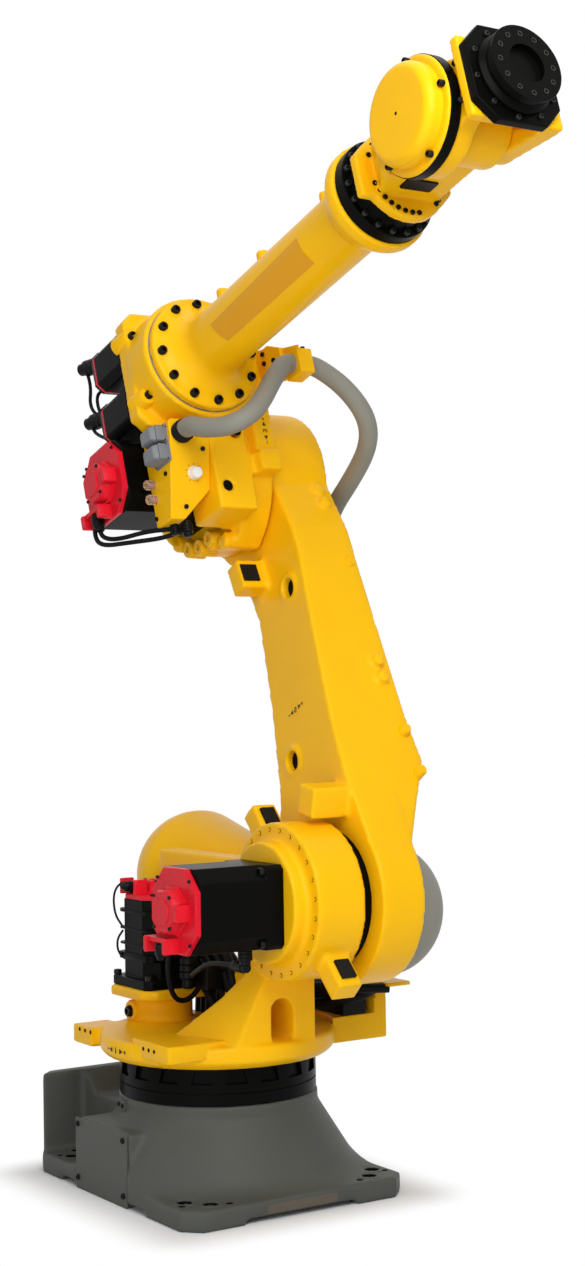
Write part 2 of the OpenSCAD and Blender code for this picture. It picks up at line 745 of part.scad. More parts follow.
// Black sleeve where the hose leaves the box
sleeve_t = 4;
module hose_sleeve() {
    color(black) at_forearm() translate([0, run_route[0][1], run_route[0][2]])
        x_bar(hose_d / 2 + sleeve_t, box_x1, run_route[0][0]);
}

// Clamp that holds the hose beside the forearm, on a bracket from the casing
clamp_t = 5;
module hose_clamp() {
    a = run_route[len(run_route) - 1];
    b = loop_route[0];
    h = hose_d / 2 + clamp_t;
    color(yellow) at_forearm()
        block([a[0] - h, a[1], a[2] - h - clamp_t], [a[0] + h + clamp_t, b[1] - run_gap, a[2] + h]);
}

bracket_t = 8;
module hose_bracket() {
    a = run_route[len(run_route) - 1];
    h = hose_d / 2 + clamp_t;
    x0 = drive_x1 - drive_lip;
    x1 = a[0] - h;
    color(yellow) at_forearm() y_slab(elbow_y1 - bracket_t, elbow_y1 + bracket_t)
        polygon([[x0, a[2]], [x1, a[2] - h], [x1, a[2] + 2 * h], [(x0 + x1) / 2, a[2] + 3 * h], [x0, a[2] + 3 * h]]);
}

// Anchor on the lower arm's outer face where the hose loop ends
anchor_w = 70;
anchor_h = 60;
module hose_anchor() {
    e = loop_route[len(loop_route) - 1];
    color(black) at_arm() translate([e[0] - anchor_w / 2, 0, e[2] - anchor_h])
        block([0, arm_outer_y, 0], [anchor_w, e[1] + anchor_w / 2, anchor_h]);
}

// Forearm tube: root flange, funnel, tube and end flange in one turned casting
root_x = drive_x1 + run_gap;
root_t = 22;
funnel_r = 62;
tip_back = 275.2;
tip_x = forearm_l - tip_back;
tip_t = 26;
tip_cone_l = 60;
tube_boss_r = 15;
tube_boss_rise = 32;
tube_boss_shares = [0.3, 0.442, 0.648];
module forearm_tube() {
    color(yellow) at_forearm() {
        x_turned(concat(
            [[root_x, 0], [root_x, root_r], [root_x + root_t, root_r]],
            arc([root_x + root_t + funnel_r, tube_r + funnel_r], funnel_r, 180, 270),
            [[tip_x - tip_t - tip_cone_l, tube_r], [tip_x - tip_t, tip_r], [tip_x, tip_r], [tip_x, 0]]));
        for (k = tube_boss_shares) translate([forearm_l * k, 0, 0])
            cylinder(r = tube_boss_r, h = tube_r + tube_boss_rise);
    }
}

// Black ring between forearm and wrist
wrist_ring_r = 127;
ring_step_r = 112;
ring_step_l = 22;
wrist_x0 = 187;
neck_base_r = 100;
neck_base_t = 24;
module wrist_ring() {
    x1 = forearm_l - wrist_x0 - neck_base_t;
    color(black) at_forearm() x_turned([[tip_x, 0], [tip_x, wrist_ring_r], [x1 - ring_step_l, wrist_ring_r],
        [x1 - ring_step_l, ring_step_r], [x1, ring_step_r], [x1, 0]]);
}

// Wrist housing: base, neck, bend bearing cylinder and outer drum
neck_h = 104;
core_r = 78;
core_y0 = -34;
core_y1 = 74;
drum_y0 = -114;
drum_y1 = -96;
fork_y0 = -83;
fork_y1 = -40;
bridge_x = 122;
neck_root_y = -70;
ear_y = 113;
ear_half_h = 60;
ear_cut = 30;
module wrist_housing() {
    x0 = -wrist_x0 - overrun;
    color(yellow) at_forearm() translate([forearm_l, 0, 0]) union() {
        x_bar(neck_base_r, -wrist_x0 - neck_base_t, -wrist_x0);
        x_slab(-wrist_x0 - neck_base_t, -wrist_x0 - overrun) polygon([[ear_y, ear_cut - ear_half_h],
            [ear_y, ear_half_h - ear_cut], [ear_y - ear_cut, ear_half_h], [ear_cut - ear_y, ear_half_h],
            [-ear_y, ear_half_h - ear_cut], [-ear_y, -ear_half_h], [ear_y - ear_cut, -ear_half_h]]);
        translate([0, 0, -neck_h / 2]) linear_extrude(neck_h) polygon([[x0, core_y1], [x0, neck_root_y],
            [-bridge_x, drum_y0], [0, drum_y0], [0, drum_y1], [-bridge_x, drum_y1],
            [-bridge_x, core_y0], [0, core_y0], [0, core_y1]]);
        y_bar(core_r, core_y0, core_y1);
        y_bar(drum_r, drum_y0, drum_y1);
    }
}

// Black reducer between drum and fork, and the bolted drum cover
drum_cover_t = 36;
drum_cover_share = 0.87;
drum_cover_round = 20;
module drum_reducer() {
    color(black) at_forearm() translate([forearm_l, 0, 0])
        y_bar(drum_r * drum_cover_share, drum_y1, fork_y0 - run_gap);
}

module drum_cover() {
    r = drum_r * drum_cover_share;
    y0 = drum_y0 - drum_cover_t;
    color(yellow) at_forearm() translate([forearm_l, 0, 0]) y_turned(concat([[drum_y0, 0], [drum_y0, r]],
        arc([y0 + drum_cover_round, r - drum_cover_round], drum_cover_round, 90, 180), [[y0, 0]]));
}

// Hand fork: disc and boss either side of the bend axis, joined by the front plate
fork_r = 110;
boss_hand_r = 63;
boss_hand_y1 = 118;
fork_front = 130;
fork_notch = [114, 60];
fork_pocket_d = 24;
fork_pocket_shares = [[0.42, -0.35], [0.9, -0.8], [0.9, -0.2]];
hand_half_w = 100;
hand_half_h = 84;
plate_x1 = 172;
module hand_fork() {
    color(yellow) at_forearm() translate([forearm_l, 0, 0]) {
        y_bar(fork_r, fork_y0, fork_y1);
        y_slab(fork_y0, fork_y1) polygon([[0, fork_r], fork_notch, [fork_front, hand_half_h],
            [fork_front, -hand_half_h], [fork_notch[0], -fork_notch[1]], [0, -fork_r]]);
        difference() {
            union() {
                y_bar(boss_hand_r, core_y1 + run_gap, boss_hand_y1);
                y_slab(core_y1 + run_gap, boss_hand_y1) polygon([[0, boss_hand_r], [fork_front, hand_half_h],
                    [fork_front, -hand_half_h], [0, -boss_hand_r]]);
            }
            for (side = [-1, 1]) y_slab(core_y1, core_y1 + fork_pocket_d)
                polygon([for (p = fork_pocket_shares) [fork_front * p[0], side * hand_half_h * p[1]]]);
        }
        x_slab(fork_front, fork_front + motor_foot_t) polygon([[-hand_half_w, -hand_half_h],
            [boss_hand_y1, -hand_half_h], [boss_hand_y1, hand_half_h], [-hand_half_w, hand_half_h]]);
    }
}

// Black octagonal plate of the tool drive
hand_plate_cut = 42;
module hand_plate() {
    color(black) at_forearm() translate([forearm_l, 0, 0])
        x_slab(fork_front + motor_foot_t, plate_x1) polygon(cut_square(2 * hand_half_w, hand_plate_cut));
}

// Tool flange with its bolt circle and centre bore
flange_holes = 12;
flange_bore_l = 14;
flange_hole_l = 20;
flange_lip = 8;
flange_neck_r = 74;
module tool_flange() {
    color(black) at_forearm() translate([forearm_l, 0, 0]) difference() {
        x_turned([[plate_x1 + run_gap, 0], [plate_x1 + run_gap, hand_half_h], [plate_x1 + flange_lip, hand_half_h],
            [plate_x1 + 2 * flange_lip, flange_neck_r], [hand_l - 2 * flange_lip, flange_neck_r],
            [hand_l - 2 * flange_lip, flange_d / 2], [hand_l, flange_d / 2], [hand_l, 0]]);
        x_bar(flange_bore_d / 2, hand_l - flange_bore_l, hand_l + overrun);
        for (i = [0 : flange_holes - 1]) rotate([360 * i / flange_holes, 0, 0]) translate([0, 0, flange_pcd / 2])
            x_bar(flange_hole_d / 2, hand_l - flange_hole_l, hand_l + overrun);
    }
}

base_casting();
base_side_cover();
j1_reducer_ring();
turret_casting();
j1_motor();
j1_motor_cap();
j2_motor();
j2_motor_cap();
j2_reducer();
balancer_housing();
turret_stop_pads();
turret_side_bracket();
lower_arm_casting();
arm_stop_pads();
cable_cover();
hose_anchor();
elbow_casting();
j3_motor();
j3_motor_cap();
j3_reducer();
wrist_drive_motors();
wrist_drive_caps();
wrist_drive_plugs();
junction_box();
box_connectors();
box_knob();
air_fittings();
hose_sleeve();
hose_run();
hose_bracket();
hose_clamp();
hose_loop();
forearm_tube();
wrist_ring();
wrist_housing();
drum_reducer();
drum_cover();
hand_fork();
hand_plate();
tool_flange();
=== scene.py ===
# Six-axis industrial robot arm: finishes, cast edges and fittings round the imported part, in metres.
import json
import math

import bmesh
import bpy
import numpy as np
from mathutils import Matrix, Vector

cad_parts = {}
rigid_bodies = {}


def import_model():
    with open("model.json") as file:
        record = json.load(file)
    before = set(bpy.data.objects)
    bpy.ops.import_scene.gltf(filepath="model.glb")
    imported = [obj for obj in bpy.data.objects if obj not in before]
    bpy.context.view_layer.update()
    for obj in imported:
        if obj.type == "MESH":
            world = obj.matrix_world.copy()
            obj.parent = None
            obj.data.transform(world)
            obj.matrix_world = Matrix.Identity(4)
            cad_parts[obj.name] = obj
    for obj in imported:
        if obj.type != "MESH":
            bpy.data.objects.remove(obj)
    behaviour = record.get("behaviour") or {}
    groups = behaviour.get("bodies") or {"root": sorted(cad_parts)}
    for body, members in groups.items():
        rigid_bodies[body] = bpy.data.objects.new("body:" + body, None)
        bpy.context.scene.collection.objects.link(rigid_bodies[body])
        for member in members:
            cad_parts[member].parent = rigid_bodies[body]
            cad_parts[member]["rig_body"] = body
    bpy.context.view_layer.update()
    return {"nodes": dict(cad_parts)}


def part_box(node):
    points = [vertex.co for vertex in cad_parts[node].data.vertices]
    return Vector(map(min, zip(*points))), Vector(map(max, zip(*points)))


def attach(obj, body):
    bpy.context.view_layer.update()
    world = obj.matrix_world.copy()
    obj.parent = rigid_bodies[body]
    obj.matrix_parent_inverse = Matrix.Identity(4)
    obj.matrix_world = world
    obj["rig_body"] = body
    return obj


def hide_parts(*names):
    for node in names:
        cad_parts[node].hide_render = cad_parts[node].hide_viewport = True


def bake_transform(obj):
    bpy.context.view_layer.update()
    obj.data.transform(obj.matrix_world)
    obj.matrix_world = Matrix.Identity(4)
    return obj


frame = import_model()

# The view: a long lens in front of the robot and to its right, at chest height, all but level.
# The camera stands where the photograph was taken from, with its small tilt and roll.
eye = Vector((3.979, -2.368, 1.148))
heading, tilt, roll = (math.radians(a) for a in (56.926, 1.371, -0.901))
ahead = Vector((-math.sin(heading) * math.cos(tilt), math.cos(heading) * math.cos(tilt), math.sin(tilt)))
level = Vector((math.cos(heading), math.sin(heading), 0))
above = level.cross(ahead)
right = level * math.cos(roll) + above * math.sin(roll)
stance = Matrix((right, right.cross(ahead), -ahead)).transposed().to_4x4()
camera = bpy.data.objects.new("camera", bpy.data.cameras.new("camera"))
camera.data.lens = 56.95
camera.data.clip_end = 60
camera.matrix_world = Matrix.Translation(eye) @ stance
bpy.context.scene.collection.objects.link(camera)
bpy.context.scene.camera = camera
bpy.context.scene.view_settings.view_transform = "Standard"


# The studio: a white floor that keeps the close shadow and fades into a white surround. A broad softbox
# stands high on the right of the camera, a weaker one low on its left, and one hangs overhead.
class Signal:
    """A shader socket in Python expressions: each operator adds one Math node to the socket's tree."""

    def __init__(self, tree, socket=None):
        self.tree, self.socket = tree, socket

    def node(self, kind, settings=None, sockets=None, out=0):
        """Adds a node, its settings first and then the values or links of its sockets."""
        made = self.tree.nodes.new("ShaderNode" + kind)
        for key, value in (settings or {}).items():
            if key == "stops":
                for stop, (place, colour) in zip(made.color_ramp.elements, value):
                    stop.position, stop.color = place, (*colour, 1)
            else:
                setattr(made, key, value)
        for key, value in (sockets or {}).items():
            if isinstance(value, Signal):
                self.tree.links.new(value.socket, made.inputs[key])
            else:
                made.inputs[key].default_value = value
        return Signal(self.tree, made.outputs[out])

    def maths(self, operation, a, b=0.0):
        return self.node("Math", {"operation": operation}, {0: a, 1: b})

    def __add__(self, other):
        return self.maths("ADD", self, other)

    def __sub__(self, other):
        return self.maths("SUBTRACT", self, other)

    def __rsub__(self, other):
        return self.maths("SUBTRACT", other, self)

    def __mul__(self, other):
        return self.maths("MULTIPLY", self, other)

    __radd__, __rmul__ = __add__, __mul__


def seen_rays(start):
    """1 for the rays that show the surround itself: camera, glossy and transmission rays."""
    kinds = ("Is Camera Ray", "Is Glossy Ray", "Is Transmission Ray")
    rays = [start.node("LightPath", out=name) for name in kinds]
    return start.maths("MAXIMUM", start.maths("MAXIMUM", rays[0], rays[1]), rays[2])


world = bpy.data.worlds.new("studio")
world.use_nodes = True
bpy.context.scene.world = world
surround = Signal(world.node_tree)
world_light = 0.28
strength = seen_rays(surround) * (1 - world_light) + world_light
backdrop = world.node_tree.nodes["Background"]
backdrop.inputs["Color"].default_value = (1, 1, 1, 1)
world.node_tree.links.new(strength.socket, backdrop.inputs["Strength"])

floor_r, floor_z = 9.0, -1e-4
foot_half, halo = (0.33, 0.285, 0), 0.16
angles = np.linspace(0, 2 * np.pi, 65)[:-1]
rim = np.stack([np.cos(angles), np.sin(angles), floor_z + 0 * angles], 1) * [floor_r, floor_r, 1]
floor_mesh = bpy.data.meshes.new("floor")
floor_mesh.from_pydata(rim.tolist(), [], [list(range(len(rim)))])
floor = bpy.data.objects.new("floor", floor_mesh)
bpy.context.scene.collection.objects.link(floor)
floor_finish = bpy.data.materials.new("floor_white")
floor_finish.use_nodes = True
start = Signal(floor_finish.node_tree)
spot = start.node("TexCoord", out="Object")
past = start.node("VectorMath", {"operation": "ABSOLUTE"}, {0: spot})
past = start.node("VectorMath", {"operation": "SUBTRACT"}, {0: past, 1: foot_half})
past = start.node("VectorMath", {"operation": "MAXIMUM"}, {0: past, 1: (0, 0, 0)})
away = start.node("VectorMath", {"operation": "LENGTH"}, {0: past}, "Value")
fade = start.node("MapRange", {"interpolation_type": "SMOOTHSTEP"}, {"Value": away, 1: 0.0, 2: halo})
matt = start.node("BsdfDiffuse", sockets={"Color": (0.93, 0.93, 0.93, 1)})
glow = start.node("Emission", sockets={"Strength": 1.0})
shown = start.node("MixShader", sockets={0: fade * seen_rays(start), 1: matt, 2: glow})
output = floor_finish.node_tree.nodes["Material Output"]
floor_finish.node_tree.links.new(shown.socket, output.inputs["Surface"])
floor_mesh.materials.append(floor_finish)

middle = Vector((0.2, 0, 1.1))
softboxes = {"key": (level * 0.7 - ahead * 2.7 + Vector((0, 0, 2.0)), 2.2, 80),
             "fill": (-level * 0.9 - ahead * 2.7 - Vector((0, 0, 0.5)), 2.2, 27),
             "overhead": (Vector((-0.3, 0.2, 3.6)), 3.0, 27)}
for name, (offset, side, watts) in softboxes.items():
    lamp = bpy.data.objects.new(name, bpy.data.lights.new(name, "AREA"))
    lamp.data.shape = "SQUARE"
    lamp.data.size, lamp.data.energy = side, watts
    lamp.location = middle + offset
    lamp.rotation_mode = "QUATERNION"
    lamp.rotation_quaternion = (-offset).to_track_quat("-Z", "Y")
    bpy.context.scene.collection.objects.link(lamp)


# The base: one iron casting with a flared bell on a thick foot plate, in textured grey paint.
# Sand-cast edges are rounded by a few millimetres, so the casting is shown with its edges worn soft.
def srgb(*rgb):
    """A colour read off in 0-255 steps, in the linear values that shaders take."""
    share = np.array(rgb) / 255
    linear = np.where(share < 0.04045, share / 12.92, ((share + 0.055) / 1.055) ** 2.4)
    return (*linear.tolist(), 1)


def paint(name, slot, colour, gloss, grain, grain_size, shift=0.06, coat=0.0, metal=0.0, shine=0.25):
    """A finish, as a material and its palette slot: the colour drifts over broad patches, and a fine grain of
    noise lifts the surface."""
    made = bpy.data.materials.new(name)
    made.use_nodes = True
    tree = made.node_tree
    start = Signal(tree)
    patch_size = 0.18
    place = start.node("TexCoord", out="Object")
    patch = start.node("TexNoise", sockets={"Vector": place, "Scale": 1 / patch_size, "Detail": 3.0})
    fine = start.node("TexNoise", sockets={"Vector": place, "Scale": 1 / grain_size, "Detail": 2.0})
    dark = tuple(c * (1 - shift) for c in colour[:3])
    pale = tuple(min(1, c * (1 + shift)) for c in colour[:3])
    tone = start.node("ValToRGB", {"stops": [(0.3, dark), (0.7, pale)]}, {"Fac": patch})
    rough = gloss + 0.12 * (patch - 0.5) + 0.1 * (fine - 0.5)
    bump = start.node("Bump", sockets={"Strength": 0.35, "Distance": grain, "Height": fine})
    shader = tree.nodes["Principled BSDF"]
    shader.inputs["Metallic"].default_value = metal
    shader.inputs["Specular IOR Level"].default_value = shine
    shader.inputs["Coat Weight"].default_value = coat
    shader.inputs["Coat Roughness"].default_value = 0.12
    for signal, socket in ((tone, "Base Color"), (rough, "Roughness"), (bump, "Normal")):
        tree.links.new(signal.socket, shader.inputs[socket])
    return made, slot


def body_of(node):
    """The moving body that carries a CAD node."""
    return frame["nodes"][node]["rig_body"]


def reworked(node, finish, *steps, sharp=40, added=None, trim=None):
    """A piece that stands for a CAD node: a copy of its solid, with an added shape, taken through modifier
    steps. trim is a function of the finished piece's points, as one array."""
    mesh = frame["nodes"][node].data.copy()
    if added:
        extra = bpy.data.meshes.new(node + "_added")
        extra.from_pydata(added[0].tolist(), [], added[1].tolist())
        work = bmesh.new()
        work.from_mesh(mesh)
        work.from_mesh(extra)
        work.to_mesh(mesh)
        work.free()
    mesh.shade_smooth()
    made = bpy.data.objects.new(node + "_shown", mesh)
    bpy.context.scene.collection.objects.link(made)
    for kind, settings in (("WELD", {"merge_threshold": 1e-5}), *steps):
        step = made.modifiers.new(kind, kind)
        for key, value in settings.items():
            setattr(step, key, value)
    finished = made.evaluated_get(bpy.context.evaluated_depsgraph_get())
    shown = bpy.data.meshes.new_from_object(finished)
    made.modifiers.clear()
    made.data = shown
    if trim:
        points = np.empty(3 * len(shown.vertices), np.float32)
        shown.vertices.foreach_get("co", points)
        shown.vertices.foreach_set("co", trim(points.reshape(-1, 3)).ravel())
        shown.update()
    shown.set_sharp_from_angle(angle=math.radians(sharp))
    shown.materials.clear()
    shown.materials.append(finish[0])
    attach(made, body_of(node))
    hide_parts(node)


def cast(node, finish, voxel=0.005, passes=6, added=None, trim=None):
    """A casting as the foundry leaves it: the solid resampled on a fine grid and relaxed, so that each outer
    edge and inner corner gets a cast radius."""
    reworked(node, finish, ("REMESH", {"mode": "VOXEL", "voxel_size": voxel, "use_smooth_shade": True}),
             ("SMOOTH", {"factor": 0.5, "iterations": passes}), sharp=180, added=added, trim=trim)


def eased(node, finish, width=0.002):
    """A machined or moulded piece: the solid's flat faces joined and its edges broken by a small radius."""
    reworked(node, finish, ("DECIMATE", {"decimate_type": "DISSOLVE", "angle_limit": math.radians(2)}),
             ("BEVEL", {"width": width, "segments": 2, "angle_limit": math.radians(28)}),
             ("WEIGHTED_NORMAL", {"keep_sharp": True}))


grey_paint = paint("grey_textured_paint", "grey_paint", srgb(80, 82, 77), 0.5, 0.0015, 0.006, shift=0.05,
                   shine=0.15)
cast("base_casting", grey_paint, voxel=0.006)
eased("base_side_cover", grey_paint)


# The cover screws: black cap screws, one near each corner of the cable box cover.
# They are turned from steel with a hexagon socket and stand on the sheet.
def strip(points, wrap=True):
    """A surface over a grid of points, (rows, columns, 3), as points and quads; wrap closes the columns."""
    rows, columns = points.shape[:2]
    count = np.arange(rows * columns).reshape(rows, columns)
    count = np.concatenate([count, count[:, :1]], 1) if wrap else count
    quads = np.stack([count[:-1, :-1], count[:-1, 1:], count[1:, 1:], count[1:, :-1]], -1)
    return points.reshape(-1, 3), quads.reshape(-1, 4)


def gather(*shapes):
    """Several shapes as one."""
    starts = np.cumsum([0] + [len(points) for points, quads in shapes[:-1]])
    return (np.concatenate([points for points, quads in shapes]),
            np.concatenate([quads + start for (points, quads), start in zip(shapes, starts)]))


def scatter(shape, *frames):
    """Copies of a shape, one in each frame: its columns are the X, Y and Z directions and the origin."""
    points, quads = shape
    frames = np.asarray(frames, float)
    spread = np.einsum("nij,pj->npi", frames[:, :, :3], points) + frames[:, None, :, 3]
    copies = len(points) * np.arange(len(frames))[:, None, None]
    return spread.reshape(-1, 3), (quads + copies).reshape(-1, 4)


def seat(at, out, up=(0, 0, 1)):
    """The frame of a fitting: origin at its seat, local Z along out, local Y as near to up as can be."""
    z = np.asarray(out, float) / np.linalg.norm(out)
    x = np.cross(up, z) if np.linalg.norm(np.cross(up, z)) > 1e-3 else np.cross((1, 0, 0), z)
    x = x / np.linalg.norm(x)
    return np.column_stack([x, np.cross(z, x), z, at])


def seats(places, out):
    """The frames of several fittings that face the same way."""
    return [seat(place, out) for place in places]


def show(name, shape, like, finish, *nodes, sharp=40):
    """A piece of its own: it rides with the body of the CAD node `like`, or with no body where that
    is None, and stands for the nodes named last."""
    mesh = bpy.data.meshes.new(name)
    mesh.from_pydata(shape[0].tolist(), [], shape[1].tolist())
    work = bmesh.new()
    work.from_mesh(mesh)
    bmesh.ops.remove_doubles(work, verts=work.verts, dist=1e-6)
    bmesh.ops.recalc_face_normals(work, faces=work.faces)
    work.to_mesh(mesh)
    work.free()
    mesh.shade_smooth()
    mesh.set_sharp_from_angle(angle=math.radians(sharp))
    mesh.materials.append(finish[0])
    made = bpy.data.objects.new(name, mesh)
    bpy.context.scene.collection.objects.link(made)
    if like:
        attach(made, body_of(like))
    if nodes:
        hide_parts(*nodes)
    return made


def cap_screw(r, h, around=24):
    """Rings from the seat up the head and over its edge, then down a hexagon socket. The socket's radius at
    an angle is its half width over the cosine of the angle to the nearest flat."""
    t = np.linspace(0, 2 * np.pi, around, endpoint=False)
    flat = 0.52 * r / np.cos((t + np.pi / 6) % (np.pi / 3) - np.pi / 6)
    radius = np.stack([r + 0 * t, r + 0 * t, 0.86 * r + 0 * t, flat, flat, 0 * t])
    height = h * np.array([0, 0.86, 1, 1, 0.4, 0.4])[:, None] + 0 * t
    return strip(np.stack([radius * np.cos(t), radius * np.sin(t), height], -1))


screw_steel = paint("black_screw_steel", "black_paint", srgb(17, 17, 16), 0.32, 0.0001, 0.002, shift=0.1,
                    shine=0.15)
near_side = (0, -1, 0)
cover_lo, cover_hi = (np.array(p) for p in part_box("base_side_cover"))
inset = 0.013
corners = [(x, cover_lo[1], z) for x in (cover_lo[0] + inset, cover_hi[0] - inset)
           for z in (cover_lo[2] + 2 * inset, cover_hi[2] - inset)]
show("cover_screws", scatter(cap_screw(0.0065, 0.005), *seats(corners, near_side)), "base_side_cover",
     screw_steel)


# The foot holes: each floor bolt hole has a machined spot face, and small jacking and pin holes lie by it.
# The spot faces are cut flat and painted with the casting; the small holes go through the plate. The shade
# inside the holes is painted near-black.
def turned(profile, around=40):
    """A profile of (radius, height) pairs turned about local Z: (r cos t, r sin t, h)."""
    r, h = np.asarray(profile, float).T[:, :, None]
    t = np.linspace(0, 2 * np.pi, around, endpoint=False)
    return strip(np.stack([r * np.cos(t), r * np.sin(t), h + 0 * t], -1))


def hole_shade_disc(r):
    """A disc of painted shade in the mouth of a hole: flat, of radius r, its edge turned down."""
    return turned([(0, 0.0006), (0.85 * r, 0.0006), (r, 0)], 24)


upward, foot_top = (0, 0, 1), 0.0452


def at_corners(places):
    """Frames on top of the foot, at places that repeat in its four corners."""
    spots = [(sx * x, sy * y, foot_top) for sx in (-1, 1) for sy in (-1, 1) for x, y in places]
    return seats(spots, upward)


# Near-black paint for the inside of holes: painted shade, not a colour of the casting.
hole_shade_paint = paint("hole_shade_paint", "black_paint", srgb(10, 10, 9), 0.7, 0.0001, 0.004, shine=0.05)
bolt_r, bolt_depth = 0.0165, 0.012
bolt_seats = at_corners(((0.262, 0.243), (0.305, 0.205)))
spot_face = turned([(bolt_r, -0.004), (0.0172, 0.0006), (0.026, 0.0008), (0.0272, -0.001)])
bolt_hole = turned([(0, -bolt_depth), (bolt_r, -bolt_depth), (bolt_r, -0.001)])
small_seats = at_corners(((0.222, 0.252), (0.322, 0.168), (0.284, 0.262)))
show("foot_spot_faces", scatter(spot_face, *bolt_seats), "base_casting", grey_paint)
show("foot_hole_shade", scatter(bolt_hole, *bolt_seats), "base_casting", hole_shade_paint)
show("foot_small_hole_shade", scatter(hole_shade_disc(0.008), *small_seats), "base_casting", hole_shade_paint)


# The rating plate: a bare metal plate in a shallow recess of the front skirt.
# It is thin sheet, riveted flat.
def rounded(w, d, r, n=5):
    """Outline of a rectangle w by d with corners of radius r."""
    t = np.linspace(0, np.pi / 2, n) + np.arange(4)[:, None] * np.pi / 2
    centres = np.array([[1, 1], [-1, 1], [-1, -1], [1, -1]]) * [w / 2 - r, d / 2 - r]
    return (centres[:, None] + r * np.stack([np.cos(t), np.sin(t)], -1)).reshape(-1, 2)


def prism(outline, levels):
    """An outline in local X and Y carried up local Z: at each level (height, share) it has that share."""
    flat = np.asarray(outline, float)
    h, k = np.asarray(levels, float).T[:, :, None]
    return strip(np.stack([k * flat[:, 0], k * flat[:, 1], h + 0 * flat[:, 0]], -1))


def brick(w, d, h, edge=0.002, r=0.003):
    """A block w by d with rounded corners, h high, its upper edge broken."""
    return prism(rounded(w, d, r), [(0, 0), (0, 1), (h - edge, 1), (h, 1 - 2 * edge / max(w, d)), (h, 0)])


plate_metal = paint("plate_metal", "grey_paint", srgb(96, 89, 78), 0.4, 0.0001, 0.004, metal=0.5)
forward = (1, 0, 0)
skirt = seat((0.3478, 0, 0.0255), forward)
show("rating_plate", scatter(brick(0.18, 0.02, 0.002, 0.0004), skirt), "base_casting", plate_metal)

# The sight plate: a small bolted plate high on the bell, under the reducer ring.
# Two screws hold it on a flat of the casting.
facing = np.radians(-101)
bell_r, plate_z, plate_t = 0.226, 0.199, 0.007
tab_out = np.array([np.cos(facing), np.sin(facing), 0])
tab = seat(bell_r * tab_out + [0, 0, plate_z], tab_out)
tab_screws = np.array([[-0.014, 0, plate_t], [0.014, 0, plate_t]]) @ tab[:, :3].T + tab[:, 3]
show("sight_plate", scatter(brick(0.044, 0.026, plate_t), tab), "base_casting", grey_paint)
show("sight_plate_screws", scatter(cap_screw(0.005, 0.004), *seats(tab_screws, tab[:, 2])), "base_casting",
     screw_steel)

# The base reducer: a black steel ring with cast pockets, bolted between base and turret.
# Its edges are machined and only just broken.
black_paint = paint("black_satin_paint", "black_paint", srgb(8, 8, 7), 0.33, 0.0004, 0.003, shift=0.1,
                    shine=0.04)
eased("j1_reducer_ring", black_paint, 0.0015)

# The turret: one iron casting in bright yellow enamel, with the shoulder boss on a leaning column.
# The balancer's housing and the cable shelf on the far side are bolted to it and wear the same paint.
yellow_paint = paint("yellow_enamel", "yellow_paint", srgb(252, 192, 12), 0.34, 0.0005, 0.012, shift=0.03,
                     coat=0.03, shine=0.12)
rubber = paint("black_rubber", "black_rubber", srgb(18, 18, 18), 0.6, 0.0003, 0.003, shine=0.12)
cast("turret_casting", yellow_paint)
cast("balancer_housing", yellow_paint)
eased("turret_side_bracket", yellow_paint, 0.004)
eased("turret_stop_pads", rubber)


# The turret's near lug and its holes: a cast block that stands out of the rim, with three tapped holes in it
# and three in the far lug, their shade painted as near-black discs. A circle of small painted screws goes
# round the shoulder boss, each ringed by a near-black disc of painted shadow.
def moved(shape, by):
    """A shape shifted by a vector."""
    return shape[0] + by, shape[1]


def side_circle(x, y, z, r, degrees):
    """Frames on a circle of radius r about a point, facing the near side."""
    return seats([(x + r * math.cos(a), y, z + r * math.sin(a)) for a in np.radians(degrees)], near_side)


shoulder_x, shoulder_z = 0.312, 0.67
boss_face, screw_circle = -0.0355, 0.157
lug = prism(rounded(0.168, 0.15, 0.008),
            [(0, 0), (0, 0.985), (0.002, 1), (0.033, 1), (0.036, 0.97), (0.036, 0)])
show("near_lug", moved(lug, (0.134, -0.177, 0.33)), "turret_casting", yellow_paint)
lug_places = [(x, -0.2403, 0.346) for x in (-0.222, -0.195, -0.168)]
lug_places += [(x, -0.252, 0.349) for x in (0.106, 0.13, 0.154)]
boss_seats = side_circle(shoulder_x, boss_face, shoulder_z, screw_circle, np.arange(24) * 15 + 7)
show("turret_hole_shade", scatter(hole_shade_disc(0.0048), *seats(lug_places, near_side), *boss_seats), "turret_casting",
     hole_shade_paint)
show("boss_screws", scatter(cap_screw(0.0034, 0.0022, 18), *boss_seats), "turret_casting", yellow_paint)

# The pedestal's side boss: a round cast boss under the base motor, closed by a black plug.
# The plug is a large cap screw in a counterbore.
side_boss = seat((-0.212, -0.098, 0.376), near_side)
boss = turned([(0.026, -0.02), (0.026, 0.011), (0.023, 0.015), (0.015, 0.015), (0.014, 0.01), (0, 0.01)])
show("pedestal_boss", scatter(boss, side_boss), "turret_casting", yellow_paint)
show("pedestal_plug", scatter(cap_screw(0.0125, 0.024), side_boss), "turret_casting", screw_steel)


# The axis marks: a minus, an arrow, the axis number in plain strokes, an arrow and a plus, in black film.
# One is bent round the turret's rim, one is stuck on the elbow casing and one on the lower arm.
def axis_mark(strokes):
    """Thin film shapes in a row along local X: minus, arrowhead, number, arrowhead and plus. A stroke is its
    place in metres and its width and height in millimetres."""
    film_t, arrow_x = 0.0005, 0.017
    bar = brick(0.001, 0.001, film_t, 0.0001, 0.0001)
    arrow = prism([(0.006, 0), (-0.004, 0.005), (-0.004, -0.005)], [(0, 0), (0, 1), (film_t, 1), (film_t, 0)])
    bars = [(-0.03, 0, 7, 1.8), (0.03, 0, 7, 1.8), (0.03, 0, 1.8, 7), *strokes]
    shapes = [(bar[0] * [w, h, 1] + [x, y, 0], bar[1]) for x, y, w, h in bars]
    back_arrow = (arrow[0] * [-1, 1, 1] - [arrow_x, 0, 0], arrow[1])
    return gather(*shapes, back_arrow, moved(arrow, (arrow_x, 0, 0)))


